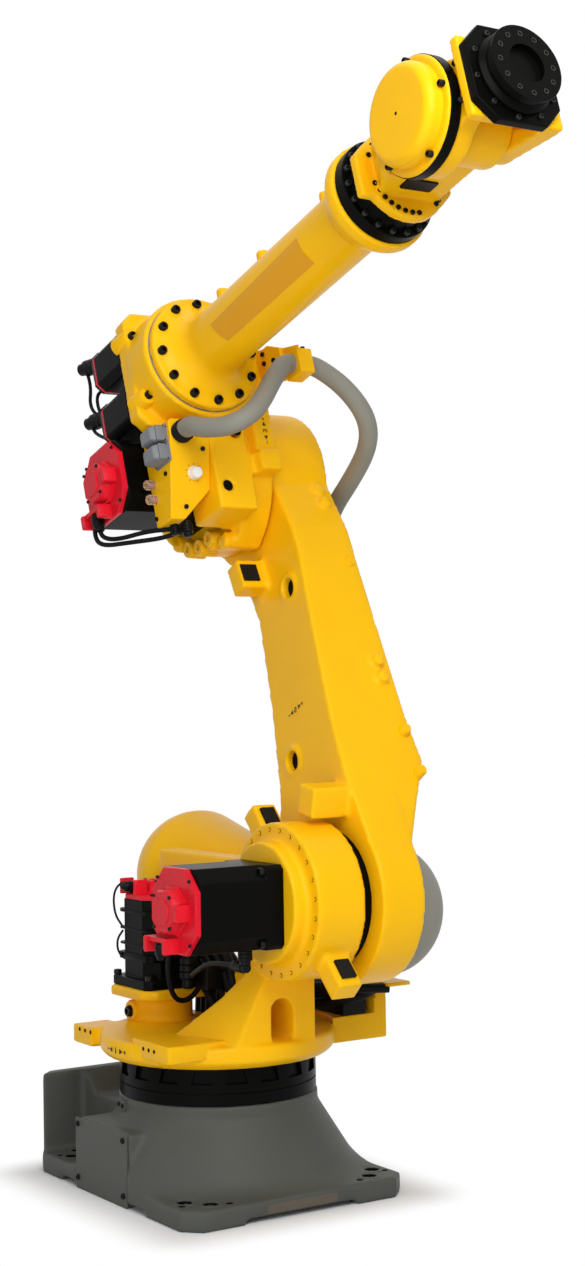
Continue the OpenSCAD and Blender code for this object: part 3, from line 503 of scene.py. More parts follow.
mark_film = paint("mark_film", "black_paint", srgb(30, 28, 22), 0.5, 0.0001, 0.004)
one = [(0, 0, 2.2, 12)]
film, quads = axis_mark(one)
rim_r, rim_z, mark_size = 0.2697, 0.333, 1.2
bend = np.radians(272) + mark_size * film[:, 0] / rim_r
bent = np.stack([(rim_r + film[:, 2]) * np.cos(bend), (rim_r + film[:, 2]) * np.sin(bend),
                 rim_z + mark_size * film[:, 1]], 1)
show("turret_mark", (bent, quads), "turret_casting", mark_film)

# The motors: servo motors in black, each on a square flange with four cap screws.
# Their bodies are die-cast with broken edges, and the base motor has ribs round it.
for name in ("j1_motor", "j2_motor", "j3_motor", "wrist_drive_motors"):
    eased(name, black_paint, 0.003)


def leaning(origin, lean):
    """A frame whose X direction rises by lean degrees from +X, Y kept."""
    c, s = math.cos(math.radians(lean)), math.sin(math.radians(lean))
    return np.array([[c, 0, -s, origin[0]], [0, 1, 0, origin[1]], [s, 0, c, origin[2]]])


def rib(w, z, h):
    """A rib w wide round a square body, from z up over a height h, its edges broken."""
    edge = 0.001
    return prism(rounded(w, w, 0.02), [(z, 0.9), (z, 0.99), (z + edge, 1), (z + h - edge, 1), (z + h, 0.99),
                                       (z + h, 0.9)])


motor_x, motor_y = -0.2, -0.032
elbow_drop = 0.225
level_frame = leaning((0, 0, 0), 0)
arm_frame = leaning((shoulder_x, 0, shoulder_z), 28.3)
forearm_frame = leaning((-0.26455, 0, 1.83133), 17.3)
ribs = gather(rib(0.157, 0.496, 0.016), rib(0.154, 0.53, 0.005), rib(0.154, 0.566, 0.005),
              rib(0.154, 0.606, 0.008))
show("j1_motor_ribs", moved(ribs, (motor_x, motor_y, 0)), "j1_motor", black_paint)


def fit(name, shape, places, like, finish, *nodes, home=forearm_frame):
    """A piece of copies of a shape, at places given in the axes of the frame `home`."""
    show(name, scatter(scatter(shape, *places), home), like, finish, *nodes)


square = np.array([(x, y) for x in (-1, 1) for y in (-1, 1)])
upright, lying = 0.077 * square, 0.076 * square
flange_screws = {
    "j1_motor": (level_frame, seats([(motor_x + x, motor_y + y, 0.456) for x, y in upright], upward)),
    "j2_motor": (level_frame, seats([(shoulder_x + x, -0.114, shoulder_z + z) for x, z in lying], near_side)),
    "j3_motor": (forearm_frame, seats([(x, 0.056, z - elbow_drop) for x, z in lying], near_side))}
for name, (home, places) in flange_screws.items():
    fit(name + "_screws", cap_screw(0.0095, 0.011), places, name, screw_steel, home=home)


# The motor caps: red octagonal plates, each with a raised encoder cover, a forked shroud and a black plug.
# They are painted die castings held by small screws. The wrist motors have thin plates under black covers.
def octagon(w, cut):
    """Outline of a square of side w with its corners cut by that much."""
    h = w / 2
    return np.array([[h, cut - h], [h, h - cut], [h - cut, h], [cut - h, h],
                     [-h, h - cut], [-h, cut - h], [cut - h, -h], [h - cut, -h]])


def end_cap(w):
    """The red part of a cap on a motor w wide: plate, stepped cover with its lid, fork of the shroud."""
    plate = prism(octagon(w, w / 4), [(0, 0), (0, 1), (0.0095, 1), (0.012, 0.97), (0.012, 0)])
    cover = prism(octagon(0.52 * w, 0.14 * w),
                  [(0.012, 1.1), (0.016, 1.1), (0.018, 1), (0.036, 0.97), (0.042, 0.88), (0.042, 0.62),
                   (0.045, 0.58), (0.045, 0)])
    cheeks = [(brick(0.012, 0.034, 0.036), x, -0.4 * w) for x in (-0.38 * w, 0.06 * w)]
    bridge = [(brick(0.48 * w, 0.01, 0.03), -0.16 * w, -0.335 * w),
              (brick(0.09 * w, 0.2 * w, 0.034), 0.31 * w, 0)]
    return gather(plate, cover, *[moved(shape, (x, y, 0.01)) for shape, x, y in (*cheeks, *bridge)])


def cap_plug(w):
    """The black plug in the fork: a ribbed barrel along local -Y, with its nut."""
    body = turned([(0, 0), (0.011, 0), (0.011, 0.008), (0.014, 0.009), (0.014, 0.02), (0.012, 0.021),
                   (0.012, 0.03), (0.009, 0.034), (0.005, 0.042), (0, 0.042)], 24)
    return scatter(body, seat((-0.16 * w, -0.35 * w, 0.026), (0, -1, 0.12)))


red_paint = paint("red_cap_enamel", "red_plastic", srgb(220, 26, 44), 0.3, 0.0003, 0.008, coat=0.03,
                  shine=0.1)
plug_plastic = paint("black_plug_plastic", "black_plastic", srgb(12, 12, 12), 0.38, 0.0002, 0.003, shine=0.1)
caps = {"j1_motor_cap": (0.15, level_frame, seat((motor_x, motor_y, 0.639), upward, (0, 1, 0))),
        "j2_motor_cap": (0.18, level_frame, seat((shoulder_x, -0.275, shoulder_z), near_side)),
        "j3_motor_cap": (0.18, forearm_frame, seat((0, -0.16, -elbow_drop), near_side))}
for name, (w, home, place) in caps.items():
    corner_screws = seats([(x, y, 0.0118) for x, y in 0.37 * w * square], upward)
    lid_screws = seats([(x, y, 0.0405) for x, y in 0.2 * w * (square * 0.9)], upward)
    screws = scatter(cap_screw(0.004, 0.004, 12), *corner_screws, *lid_screws)
    fit(name + "_shown", end_cap(w), [place], name, red_paint, name, home=home)
    fit(name + "_plug", cap_plug(w), [place], name, plug_plastic, home=home)
    fit(name + "_screws", screws, [place], name, screw_steel, home=home)
small_w, small_cut, red_t = 0.104, 0.018, 0.0075
backs = seats([(0.002, y, z) for y, z in ((-0.092, 0.068), (-0.092, -0.068), (0.044, 0))], (-1, 0, 0))
red_plate = prism(octagon(small_w, small_cut), [(0, 0), (0, 1), (0.006, 1), (red_t, 0.98), (red_t, 0)])
rear_cover = prism(octagon(0.97 * small_w, small_cut),
                   [(red_t, 0.6), (red_t, 1), (0.018, 0.98), (0.0205, 0.93), (0.0205, 0)])
fit("wrist_drive_caps_shown", red_plate, backs, "wrist_drive_caps", red_paint, "wrist_drive_caps")
fit("wrist_drive_covers", rear_cover, backs, "wrist_drive_caps", black_paint)


# The turret's leads: black rubber cables with screwed connectors between the motors and the column, a bundle
# behind the base motor, and three cables to the far shelf, which carries a folded lip and a moulded block.
# The cables are held at both ends, and their routes are in millimetres.
def rounded_path(points, rounds=4):
    """A path through corner cutting: every round puts two points at one and three quarters of each leg."""
    path = np.asarray(points, float)
    for _ in range(rounds):
        cut = np.stack([0.75 * path[:-1] + 0.25 * path[1:], 0.25 * path[:-1] + 0.75 * path[1:]], 1)
        path = np.concatenate([path[:1], cut.reshape(-1, 3), path[-1:]])
    return path


def swept(path, radius, around=14, lean=(0.2, 0.3, 1)):
    """A round section along a path: path(s) + r (cos t side(s) + sin t over(s)), both square to it."""
    along = np.gradient(path, axis=0)
    along = along / np.linalg.norm(along, axis=1, keepdims=True)
    side = np.cross(along, lean)
    side = side / np.linalg.norm(side, axis=1, keepdims=True)
    over = np.cross(along, side)
    t = np.linspace(0, 2 * np.pi, around, endpoint=False)[:, None]
    r = np.concatenate([[0], np.full(len(path), radius), [0]])[:, None, None]
    rows = np.concatenate([[0], np.arange(len(path)), [len(path) - 1]])
    path, side, over = (row[rows][:, None] for row in (path, side, over))
    return strip(path + r * (np.cos(t) * side + np.sin(t) * over))


def cables(routes, radius):
    """Cables of one thickness along routes, which are lists of points in millimetres."""
    return gather(*[swept(rounded_path(np.array(route) / 1000), radius) for route in routes])


def barrel(start, end, r):
    """A screwed connector from start to end: stepped, with a knurled-looking nut in its middle."""
    length = np.linalg.norm(np.subtract(end, start))
    steps = [(0, 0), (0.8, 0), (0.8, 0.2), (1, 0.22), (1, 0.36), (0.9, 0.38), (1, 0.4), (1, 0.54),
             (0.9, 0.56), (1, 0.58), (1, 0.72), (0.75, 0.76), (0.75, 0.95), (0.5, 1), (0, 1)]
    return scatter(turned(np.array(steps) * [r, length], 28), seat(start, np.subtract(end, start)))


cable_rubber = paint("black_cable_rubber", "black_rubber", srgb(13, 13, 14), 0.5, 0.0002, 0.002, shine=0.1)
thin_leads = [
    [(-213, -100, 668), (-235, -112, 682), (-270, -122, 655), (-270, -120, 600), (-250, -108, 570)],
    [(-250, -108, 562), (-264, -117, 540), (-262, -116, 510), (-246, -106, 495)]]
plug_lead = [(-60, -90, 545), (-60, -95, 475), (-60, -80, 420), (-60, -45, 410), (-60, -8, 440),
             (-50, 0, 490)]
motor_lead = [(290, -130, 540), (200, -135, 537), (138, -130, 513), (50, -100, 485), (-20, -30, 490)]
show("shoulder_leads", gather(cables(thin_leads, 0.0026), cables([plug_lead], 0.0062),
                              cables([motor_lead], 0.0055)), "turret_casting", cable_rubber)
column_cables = [
    [(-110, 20, 530), (-80, 25, 500), (-50, 30, 460), (-20, 35, 420), (0, 40, 380)],
    [(-90, 30, 540), (-50, 30, 515), (-20, 32, 480), (0, 35, 440), (20, 40, 400)],
    [(-60, 30, 545), (-20, 30, 530), (10, 30, 500), (25, 30, 460), (30, 35, 420)],
    [(-120, 10, 500), (-100, 15, 460), (-70, 20, 420), (-40, 30, 385)]]
shelf_cables = [
    [(-30, 140, 400), (40, 220, 415), (100, 270, 422), (140, 320, 425), (160, 360, 432)],
    [(-30, 140, 420), (60, 200, 435), (120, 250, 438), (170, 300, 435), (190, 350, 434)],
    [(-30, 140, 380), (40, 230, 390), (100, 270, 400), (130, 310, 410), (140, 360, 432)]]
rear_cables = [
    [(24 * k - 225, 85, 350), (24 * k - 225, 88, 420), (24 * k - 210, 85, 480), (20 * k - 160, 70, 505),
     (12 * k - 110, 40, 520)] for k in range(7)]
show("turret_cables", cables(column_cables + shelf_cables + rear_cables, 0.0115), "turret_casting",
     cable_rubber)
post, lip = brick(0.08, 0.03, 0.045), brick(0.19, 0.06, 0.008)
show("cable_tray", gather(moved(post, (0.07, 0.384, 0.396)), moved(lip, (0.115, 0.368, 0.4395))),
     "turret_side_bracket", yellow_paint)
show("shelf_block", moved(brick(0.155, 0.066, 0.076), (0.0275, 0.3125, 0.363)), "turret_side_bracket",
     plug_plastic)
show("shoulder_plugs", gather(barrel((0.338, -0.13, 0.585), (0.338, -0.13, 0.545), 0.016),
                              barrel((0.345, -0.13, 0.54), (0.285, -0.13, 0.54), 0.013),
                              barrel((-0.06, -0.038, 0.53), (-0.06, -0.042, 0.44), 0.021),
                              barrel((-0.125, -0.055, 0.53), (-0.06, -0.09, 0.545), 0.014),
                              moved(brick(0.07, 0.08, 0.05, 0.004), (-0.045, 0.02, 0.44))),
     "turret_casting", plug_plastic)

# The shoulder, elbow and wrist reducers: black steel rings in the gaps between the castings that they turn.
# They are machined, with edges only just broken.
for name in ("j2_reducer", "j3_reducer", "drum_reducer"):
    eased(name, black_paint, 0.001)


# The lower arm: a hollow iron casting between two round joint housings, with a rubber pad on its elbow stop.
# Its far face runs down to the shoulder end in a long saddle, and its elbow end is flattened at the rear.
def saddle():
    """A wedge along the arm: at each height a rectangle from the rear to the front of the beam, whose far
    side runs out in step with the height. Its first and last rows close on their middles."""
    foot, head, inner, outer = 0.035, 0.24, 0.19, 0.335
    z = np.linspace(foot, head, 24)
    far = np.minimum(0.225 + 0.55 * (z - foot), outer)
    rear, front = -0.17 + 0.38 * (z - 0.0645), 0.1895 - 0.0667 * (z - 0.0537)
    near = inner + 0 * z
    ring = np.stack([np.stack([rear, front, front, rear], 1), np.stack([near, near, far, far], 1),
                     np.repeat(z[:, None], 4, 1)], -1)
    ends = ring[[0, -1]].mean(1, keepdims=True).repeat(4, 1)
    return strip(np.concatenate([ends[:1], ring, ends[1:]]))


def eased_step(value, low, high):
    """0 below low, 1 above high and a smooth S between them."""
    t = np.clip((value - low) / (high - low), 0, 1)
    return t * t * (3 - 2 * t)


def flattened(points, home, centre, share, sector):
    """Points of a round housing drawn in towards its axis: past the kept radius only a share of the distance
    stays, inside a sector of angles about local Y that fades at both ends."""
    kept_r, housing_r = 0.15, 0.24
    local = (points - home[:, 3]) @ home[:, :3] - [centre[0], 0, centre[1]]
    r = np.hypot(local[:, 0], local[:, 2])
    angle = np.degrees(np.arctan2(local[:, 2], local[:, 0])) % 360
    inside = eased_step(angle, sector[0], sector[1]) * (1 - eased_step(angle, sector[2], sector[3]))
    excess = np.maximum(r - kept_r, 0) / np.maximum(r, kept_r)
    local[:, [0, 2]] *= (1 - inside * (r < housing_r) * (1 - share) * excess)[:, None]
    return (local + [centre[0], 0, centre[1]]) @ home[:, :3].T + home[:, 3]


arm_l = 1.075
cast("lower_arm_casting", yellow_paint, added=scatter(saddle(), arm_frame),
     trim=lambda points: flattened(points, arm_frame, (0, arm_l), 0.5, (150, 180, 225, 245)))
eased("arm_stop_pads", rubber, 0.001)
two = [(-0.001, 0.005, 7, 1.8), (0.0025, 0.0025, 1.8, 6), (-0.001, 0, 7, 1.8), (-0.0045, -0.0025, 1.8, 6),
       (-0.001, -0.005, 7, 1.8)]
arm_face = seat((0.042, 0.1386, 0.446), (0, -0.994, 0.109))
fit("arm_mark", axis_mark(two), [arm_face], "lower_arm_casting", mark_film, home=arm_frame)
edge_boss = turned([(0.016, -0.02), (0.013, 0.01), (0.01, 0.014), (0, 0.014)], 28)
edge_places = [(x, 0.312, z) for x, z in ((0.17, 0.86), (0.178, 0.76), (0.178, 0.316), (0.184, 0.209))]
fit("arm_edge_bosses", edge_boss, seats(edge_places, forward), "lower_arm_casting", yellow_paint,
    home=arm_frame)
# Near-black discs of painted shade stand in the mouths of the arm's two holes.
arm_holes = seats(((0.1161, 0.182, 0.7267), (-0.0108, 0.14, 0.3408)), near_side)
fit("arm_hole_shade", hole_shade_disc(0.0225), arm_holes, "lower_arm_casting", hole_shade_paint, home=arm_frame)

# The cable cover: a grey domed moulding over the leads at the shoulder end of the arm.
# Its rim is screwed to the casting, and the dome hangs a little below the shoulder axis.
moulded_grey = paint("grey_moulding", "grey_jacket", srgb(140, 138, 128), 0.5, 0.0003, 0.004)
dome_r, dome_h, rim_h = 0.15, 0.138, 0.008
rise = np.linspace(0, np.pi / 2, 20)
dome = np.concatenate([[(0.152, -0.004), (0.154, 0), (0.154, 0.006)],
                       np.stack([dome_r * np.cos(rise), rim_h + dome_h * np.sin(rise)], 1)])
show("cable_cover_shown", scatter(turned(dome, 72), seat((0.322, 0.225, 0.638), (0, 1, 0))), "cable_cover",
     moulded_grey, "cable_cover")

# The elbow: the casting that carries the elbow motor, the wrist motors and the forearm bearing.
# Its round end is cut flatter at the lower rear, where a row of drilled bosses stands along the rim.
cast("elbow_casting", yellow_paint,
     trim=lambda points: flattened(points, forearm_frame, (0, -elbow_drop), 0.25, (175, 200, 272, 298)))
rim_boss = turned([(0.0225, 0), (0.0205, 0.042), (0.018, 0.046), (0.008, 0.046), (0.0075, 0.03), (0, 0.03)])
rim_boss_r, rim_boss_y = 0.148, 0.11
rim_bosses = side_circle(0, rim_boss_y, -elbow_drop, rim_boss_r, [203, 224, 245, 265, 284])
fit("elbow_bosses", rim_boss, rim_bosses, "elbow_casting", yellow_paint)
three = [(-0.001, 0.005, 7, 1.8), (0.0025, 0, 1.8, 12), (-0.0005, 0, 5, 1.8), (-0.001, -0.005, 7, 1.8)]
casing_face = seat((0.2365, 0.147, -0.172), forward, near_side)
fit("elbow_mark", axis_mark(three), [casing_face], "elbow_casting", mark_film)
# Near-black discs of painted shade stand in the mouths of the casing's holes.
casing_holes = seats(((0.216, 0.03, -0.308), (0.23, 0.071, -0.172)), forward)
fit("casing_hole_shade", hole_shade_disc(0.014), casing_holes, "elbow_casting", hole_shade_paint)

# The casing screws: two large cap screws at the near side of the drive housing.
# Each stands on a tapered boss cast with the housing.
casing = seats(((0.164, -0.131, 0.079), (0.186, -0.126, -0.08)), forward)
casing_boss = turned([(0.026, -0.05), (0.021, 0.004), (0.019, 0.007), (0, 0.007)])
fit("casing_bosses", casing_boss, casing, "elbow_casting", yellow_paint)
fit("casing_screws", cap_screw(0.0105, 0.018), casing, "elbow_casting", screw_steel)

# The wrist motors' plugs and leads: angled encoder plugs behind each motor, and leads that loop to the box.
# The plugs are moulded and screwed on; the leads are thin round rubber.
side_plugs = gather(barrel((-0.03, -0.1, 0.108), (-0.108, -0.122, 0.124), 0.02),
                    barrel((-0.03, -0.1, -0.03), (-0.116, -0.124, -0.018), 0.02))
plug_block = brick(0.05, 0.06, 0.04, 0.004)
plug_block = (plug_block[0] @ np.array([[0, 1, 0], [0, 0, 1], [-1, 0, 0]]), plug_block[1])
blocks = gather(moved(plug_block, (-0.018, -0.095, 0.1)), moved(plug_block, (-0.018, -0.095, -0.036)))
rear_plugs = gather(*[barrel((-0.02, y, z), (-0.066, y, z), r)
                      for y, z, r in ((0.044, 0, 0.017), (-0.092, 0.055, 0.015), (-0.092, -0.085, 0.015))])
encoder_plugs = gather(side_plugs, blocks, rear_plugs)
show("encoder_plugs", scatter(encoder_plugs, forearm_frame), "wrist_drive_plugs", plug_plastic,
     "wrist_drive_plugs")
wrist_leads = [
    [(-85, -118, 112), (-70, -122, 62), (-88, -124, 20), (-62, -122, -20), (-30, -110, -34)],
    [(-62, -92, 55), (-88, -100, 50), (-60, -118, 0), (-30, -124, -40), (20, -130, -100)],
    [(-100, -120, -30), (-75, -126, -62), (0, -126, -112), (60, -124, -146), (100, -98, -155)],
    [(-62, -92, -85), (-85, -95, -90), (-60, -120, -118), (30, -126, -136), (100, -90, -162)]]
show("wrist_leads", scatter(cables(wrist_leads, 0.0042), forearm_frame), "elbow_casting", cable_rubber)

# The junction box: a folded yellow box on the casing, with its front face leaning back at the foot.
# Black screws hold its lid.
eased("junction_box", yellow_paint, 0.003)
slant = math.atan2(0.057, 0.183)
front = (math.cos(slant), 0, -math.sin(slant))
box_side = -0.105
front_screws = seats(((0.2142, -0.02, -0.218), (0.1745, -0.066, -0.347)), front)
side_places = ((0.207, -0.166), (0.176, -0.268), (0.108, -0.196), (0.104, -0.352))
side_screws = seats([(x, box_side, z) for x, z in side_places], near_side)
fit("box_screws", cap_screw(0.0055, 0.004, 12), front_screws + side_screws, "junction_box", screw_steel)

# The box connectors: two rectangular grey plug connectors with a flange, a hood and a latch.
# They are die-cast housings, each flange held by four small screws.
connector_grey = paint("grey_connector", "grey_connector", srgb(122, 125, 129), 0.4, 0.0003, 0.004)
flange_t = 0.006
connector_x, connector_rows = 0.178, (-0.18, -0.226)
hood = prism(rounded(0.056, 0.039, 0.006), [(flange_t, 1), (0.024, 1), (0.034, 0.9), (0.04, 0.74), (0.04, 0)])
connector = gather(brick(0.068, 0.045, flange_t, 0.001), hood,
                   moved(brick(0.008, 0.038, 0.022), (0.028, 0, flange_t)),
                   moved(brick(0.012, 0.03, 0.03), (-0.024, 0, flange_t)))
connector_seats = seats([(connector_x, box_side, z) for z in connector_rows], near_side)
fit("connector_hoods", connector, connector_seats, "box_connectors", connector_grey, "box_connectors")
flange_places = [(connector_x + x, box_side - flange_t, z + y)
                 for z in connector_rows for x in (-0.028, 0.029) for y in (-0.016, 0.016)]
fit("connector_screws", cap_screw(0.0032, 0.003, 12), seats(flange_places, near_side), "box_connectors",
    screw_steel)

# The box knob: a white plastic knob on the leaning face, pressed on its spindle.
# A ring of short ticks is printed round it.
knob_white = paint("white_knob", "white_plastic", srgb(240, 238, 235), 0.35, 0.0001, 0.004, shift=0.02)
knob_seat = seat((0.1972, -0.044, -0.272), front)
knob = turned([(0, 0), (0.016, 0), (0.016, 0.004), (0.0145, 0.005), (0.0135, 0.017), (0.0115, 0.02),
               (0, 0.0205)])
fit("knob_shown", knob, [knob_seat], "box_knob", knob_white, "box_knob")
tick_r = 0.0205
tick = brick(0.0045, 0.0012, 0.0005, 0.0001, 0.0002)
tick_turns = [(math.cos(a), math.sin(a)) for a in np.radians(np.linspace(-60, 240, 9))]
ticks = [knob_seat @ np.array([[c, -s, 0, tick_r * c], [s, c, 0, tick_r * s], [0, 0, 1, 0], [0, 0, 0, 1]])
         for c, s in tick_turns]
fit("knob_ticks", tick, ticks, "box_knob", mark_film)

# The air fittings: two push-in couplings on the box's side.
# Clear moulded caps stand over copper-coloured cores.
clear_cap = bpy.data.materials.new("clear_cap")
clear_cap.use_nodes = True
glass = Signal(clear_cap.node_tree)
haze = glass.node("TexNoise", sockets={"Vector": glass.node("TexCoord", out="Object"), "Scale": 160.0})
shell = clear_cap.node_tree.nodes["Principled BSDF"]
shell.inputs["Base Color"].default_value = srgb(244, 236, 228)
shell.inputs["Transmission Weight"].default_value = 0.85
shell.inputs["IOR"].default_value = 1.3
clear_cap.node_tree.links.new((0.06 + 0.14 * haze).socket, shell.inputs["Roughness"])
copper = paint("copper_core", "clear_plastic", srgb(196, 132, 92), 0.3, 0.0001, 0.003, metal=0.9)
fittings = seats([(0.114, box_side, z) for z in (-0.272, -0.308)], near_side)
cap = turned([(0.0118, 0), (0.0118, 0.02), (0.01, 0.023), (0, 0.023)], 28)
core = turned([(0, 0), (0.007, 0), (0.007, 0.006), (0.004, 0.007), (0.004, 0.016), (0, 0.017)], 24)
fit("fitting_caps", cap, fittings, "air_fittings", (clear_cap, "clear_plastic"), "air_fittings")
fit("fitting_cores", core, fittings, "air_fittings", copper)

# The leads under the elbow motor: a plug below its cap and two cables that run to the foot of the box.
# They are rubber cables with screwed connectors at their ends.
elbow_leads = [
    [(-30, -185, -325), (-22, -184, -352), (20, -170, -372), (80, -120, -372), (128, -78, -385),
     (128, -78, -376)],
    [(-30, -185, -300), (-50, -190, -330), (-30, -190, -370), (40, -150, -386), (100, -90, -396),
     (145, -60, -392), (145, -60, -376)]]
show("elbow_leads", scatter(cables(elbow_leads, 0.0055), forearm_frame), "elbow_casting", cable_rubber)
elbow_plugs = gather(barrel((0.128, -0.078, -0.372), (0.128, -0.078, -0.4), 0.012),
                     barrel((0.145, -0.055, -0.372), (0.145, -0.055, -0.41), 0.014),
                     barrel((-0.03, -0.185, -0.29), (-0.024, -0.185, -0.335), 0.013))
show("elbow_plugs", scatter(elbow_plugs, forearm_frame), "elbow_casting", plug_plastic)

# The hose: one smooth grey cable conduit, held by the box sleeve, by a clamp beside the forearm and by an
# anchor on the lower arm. Between clamp and anchor it hangs in a loop that rides with no body. Routes are in
# millimetres.
grey_jacket = paint("grey_jacket", "grey_jacket", srgb(140, 138, 128), 0.55, 0.0004, 0.003)
hose_r = 0.0225
run_path = np.array([
    (245, -75, -184), (258, -75, -184), (276, -75, -191), (302, -72, -205), (331, -62, -219),
    (360, -50, -229), (385, -36, -231), (402, -14, -223), (408, 10, -206), (403, 36, -180),
    (394, 64, -147), (382, 94, -111), (370, 126, -78), (360, 148, -60), (357, 162, -55),
    (357, 174, -55)]) / 1000
loop_path = np.array([
    (383, 210, 1174), (383, 232, 1174), (391, 254, 1150), (400, 280, 1112), (400, 306, 1070),
    (387, 330, 1035), (358, 350, 1010), (316, 364, 995), (268, 374, 988), (216, 382, 984), (164, 388, 980),
    (116, 390, 974), (76, 390, 960), (46, 390, 935), (27, 390, 900), (20, 390, 862), (20, 390, 824)]) / 1000
show("hose_run_shown", scatter(swept(rounded_path(run_path, 3), hose_r, 32), forearm_frame), "hose_run",
     grey_jacket, "hose_run", sharp=60)
loop = show("hose_loop_shown", scatter(swept(rounded_path(loop_path, 3), hose_r, 32), arm_frame), None,
            grey_jacket, "hose_loop", sharp=60)
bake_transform(loop)
sleeve = turned([(0.0228, -0.001), (0.0262, 0), (0.0265, 0.003), (0.0265, 0.018), (0.0255, 0.0205),
                 (0.0228, 0.021)], 40)
fit("sleeve_shown", sleeve, [seat((0.222, -0.075, -0.184), forward)], "hose_sleeve", rubber, "hose_sleeve")
eased("hose_anchor", plug_plastic)

# The hose clamp: a folded yellow bracket from the casing and a block with a strap over the hose.
# Bracket, sheet and block are screwed together.
eased("hose_bracket", yellow_paint)
eased("hose_clamp", yellow_paint)
sheet_y, sheet_t = 0.177, 0.004
sheet = np.array([(197, -21), (279, -45), (331, -36), (392, -34), (392, -22), (298, 9), (285, 24), (225, 41),
                  (207, 22)]) / 1000
sheet_x, sheet_z = sheet.mean(0)
leaf = prism(sheet - sheet.mean(0), [(0, 0), (0, 1), (sheet_t, 1), (sheet_t, 0)])
fit("bracket_sheet", leaf, [seat((sheet_x, sheet_y, sheet_z), near_side)], "hose_bracket", yellow_paint)
sheet_screws = seats(((0.262, 0.164, -0.01), (0.262, 0.164, 0.014), (0.302, 0.164, -0.02)), near_side)
strap_screws = [seat((x, 0.192, -0.0275), upward, (0, 1, 0)) for x in (0.335, 0.383)]
fit("clamp_screws", cap_screw(0.006, 0.005, 12), sheet_screws + strap_screws, "hose_clamp", screw_steel)


# The forearm: one turned tube casting with a funnel at its root and a cone to its end flange, yellow enamel.
# Twelve black cap screws hold the root flange on the drive housing, over a thin seam.
def slim_tip(points):
    """Points of the tube drawn in towards its axis along the end cone, down to the end flange's radius."""
    cone_x, cone_l, drawn = 0.92, 0.058, 0.152
    local = (points - forearm_frame[:, 3]) @ forearm_frame[:, :3]
    local[:, 1:] *= (1 - drawn * np.clip((local[:, 0] - cone_x) / cone_l, 0, 1))[:, None]
    return local @ forearm_frame[:, :3].T + forearm_frame[:, 3]


def bolt_circle(x, r, degrees):
    """Frames on a circle of radius r about the forearm's axis, facing along it."""
    return seats([(x, r * math.cos(a), r * math.sin(a)) for a in np.radians(degrees)], forward)


cast("forearm_tube", yellow_paint, voxel=0.0045, passes=4, trim=slim_tip)
seam = turned([(0.13, 0), (0.1408, 0), (0.1408, 0.0022), (0.13, 0.0022)], 96)
root_screws = bolt_circle(0.2722, 0.121, np.arange(12) * 30 + 3)
fit("root_seam", seam, [seat((0.2495, 0, 0), forward)], "elbow_casting", moulded_grey)
fit("root_screws", cap_screw(0.0105, 0.013), root_screws, "forearm_tube", screw_steel)

# The band: a plain strip of darker yellow film along the near side of the tube.
# It lies on the tube's curve and its ends are cut askew.
band_film = paint("band_film", "yellow_paint", srgb(226, 158, 8), 0.36, 0.0001, 0.01, shift=0.02)
share, lift = np.meshgrid(np.linspace(0, 1, 90), np.linspace(0, 1, 28))
angle = np.radians((-6 + 11 * share) * (1 - lift) - 49 * lift)
along = (0.421 + 0.021 * lift) * (1 - share) + (0.799 + 0.011 * lift) * share
skin = 0.0748
band = strip(np.stack([along, -skin * np.cos(angle), skin * np.sin(angle)], -1), wrap=False)
show("forearm_band", scatter(band, forearm_frame), "forearm_tube", band_film)

# The wrist's black ring: the housing of the bend gears, turned and bolted to the tube's end flange.
# A circle of dark steel cap screws stands on its front step, their grey lightened to paint in the highlights
# on their edges.
# Dark screw steel painted a lighter grey to stand for the highlights on screw edges: a painted highlight.
highlight_steel = paint("screw_steel_painted_highlight", "black_paint", srgb(40, 40, 39), 0.3, 0.0001, 0.002, metal=0.3)
ring_x, step_h = 1.0048, 0.0285
ring = turned([(0, 0), (0.1075, 0), (0.11, 0.002), (0.11, 0.0262), (0.108, step_h), (0.0935, step_h),
               (0.0925, 0.03), (0.0925, 0.0642), (0, 0.0642)], 96)
ring_screws = bolt_circle(ring_x + step_h, 0.1005, np.arange(18) * 20 + 2)
fit("wrist_ring_shown", ring, [seat((ring_x, 0, 0), forward)], "wrist_ring", black_paint, "wrist_ring")
fit("ring_screws", cap_screw(0.0062, 0.008, 18), ring_screws, "wrist_ring", highlight_steel)

# The wrist housing: an iron casting with a round foot, a neck and the drum of the bend axis.
# Rows of black cap screws hold its foot.
cast("wrist_housing", yellow_paint, voxel=0.004)
foot_screws = bolt_circle(1.0925, 0.0875, [*np.linspace(202, 280, 8), 143, 160, -25.5, -35.4, -43.3])
fit("wrist_foot_screws", cap_screw(0.0055, 0.0045, 18), foot_screws, "wrist_housing", screw_steel)

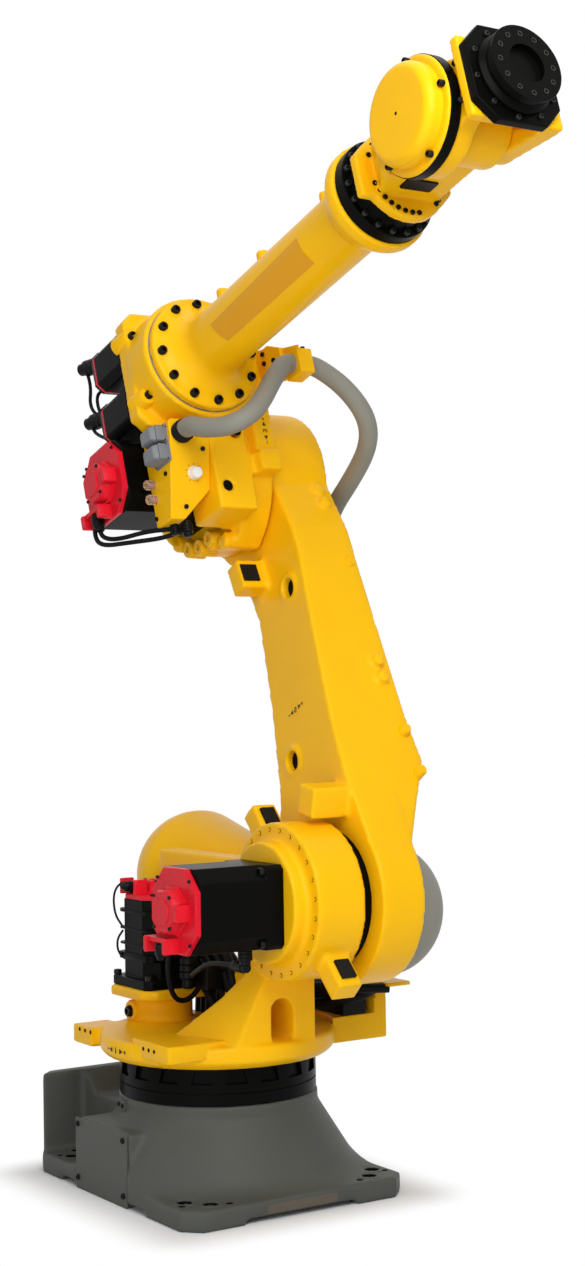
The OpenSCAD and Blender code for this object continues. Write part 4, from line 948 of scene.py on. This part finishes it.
# The drum cover: a turned yellow cover with a rounded rim, held by five screws round it.
# Behind its flange lies a black ring, the housing of the bend drive.
eased("drum_cover", yellow_paint, 0.001)
bend_x, drum_face, drum_screw_r = 1.28, -0.114, 0.1065
drum_band = turned([(0.1, 0), (0.1155, 0), (0.1165, 0.001), (0.1165, 0.0225), (0.1155, 0.0235),
                    (0.1, 0.0235)], 96)
drum_seats = side_circle(bend_x, drum_face, 0, drum_screw_r, 77 - 74.5 * np.arange(5))
fit("drum_band", drum_band, [seat((bend_x, -0.0845, 0), near_side)], "wrist_housing", black_paint)
fit("drum_screws", cap_screw(0.0068, 0.011, 18), drum_seats, "wrist_housing", screw_steel)
# A small near-black disc of painted shade marks the cover's centre hole.
fit("drum_centre_shade", hole_shade_disc(0.0036), [seat((bend_x, -0.1502, 0), near_side)], "drum_cover", hole_shade_paint)

# A small black plate under the neck, beside the drum, that stands for the shade in the gap there: painted
# shade.
# It lies flat on the casting.
neck_shade_seat = seat((1.14, -0.01, -0.0515), (0, 0, -1), (0, 1, 0))
fit("neck_shade_plate", brick(0.034, 0.074, 0.005, 0.001), [neck_shade_seat], "wrist_housing", plug_plastic)

# The hand: a fork casting on the bend axis that carries the tool drive.
# Small screws and a pin stand on its near side.
cast("hand_fork", yellow_paint, voxel=0.004)
fork_screws = seats([(bend_x + x, -0.083, z) for x, z in ((0.119, 0.044), (0.111, -0.03))], near_side)
fit("fork_screws", cap_screw(0.0052, 0.008, 18), fork_screws, "hand_fork", screw_steel)
# The pin is in the lightened screw steel, a painted highlight.
fork_pin = barrel((1.402, -0.082, -0.036), (1.402, -0.1, -0.036), 0.005)
show("fork_pin", scatter(fork_pin, forearm_frame), "hand_fork", highlight_steel)

# The tool drive: a black octagonal plate with a circle of screws, and a turned flange for the tool.
# The flange has twelve tapped holes, their threads bare steel.
eased("hand_plate", black_paint, 0.003)
eased("tool_flange", black_paint, 0.0012)
# The plate's screws are in the lightened screw steel, a painted highlight.
plate_screws = bolt_circle(1.452, 0.0915, np.arange(10) * 36 + 10)
fit("plate_screws", cap_screw(0.0055, 0.005, 18), plate_screws, "hand_plate", highlight_steel)
thread_steel = paint("thread_steel", "black_paint", srgb(92, 92, 89), 0.35, 0.0001, 0.002, metal=0.8)
thread_places = bolt_circle(1.4835, 0.0625, np.arange(12) * 30)
thread = turned([(0, 0), (0.0042, 0), (0.0042, 0.0108), (0.0044, 0.0118), (0.0052, 0.0118),
                 (0.0054, 0.0112)], 18)
fit("tool_threads", thread, thread_places, "tool_flange", thread_steel)
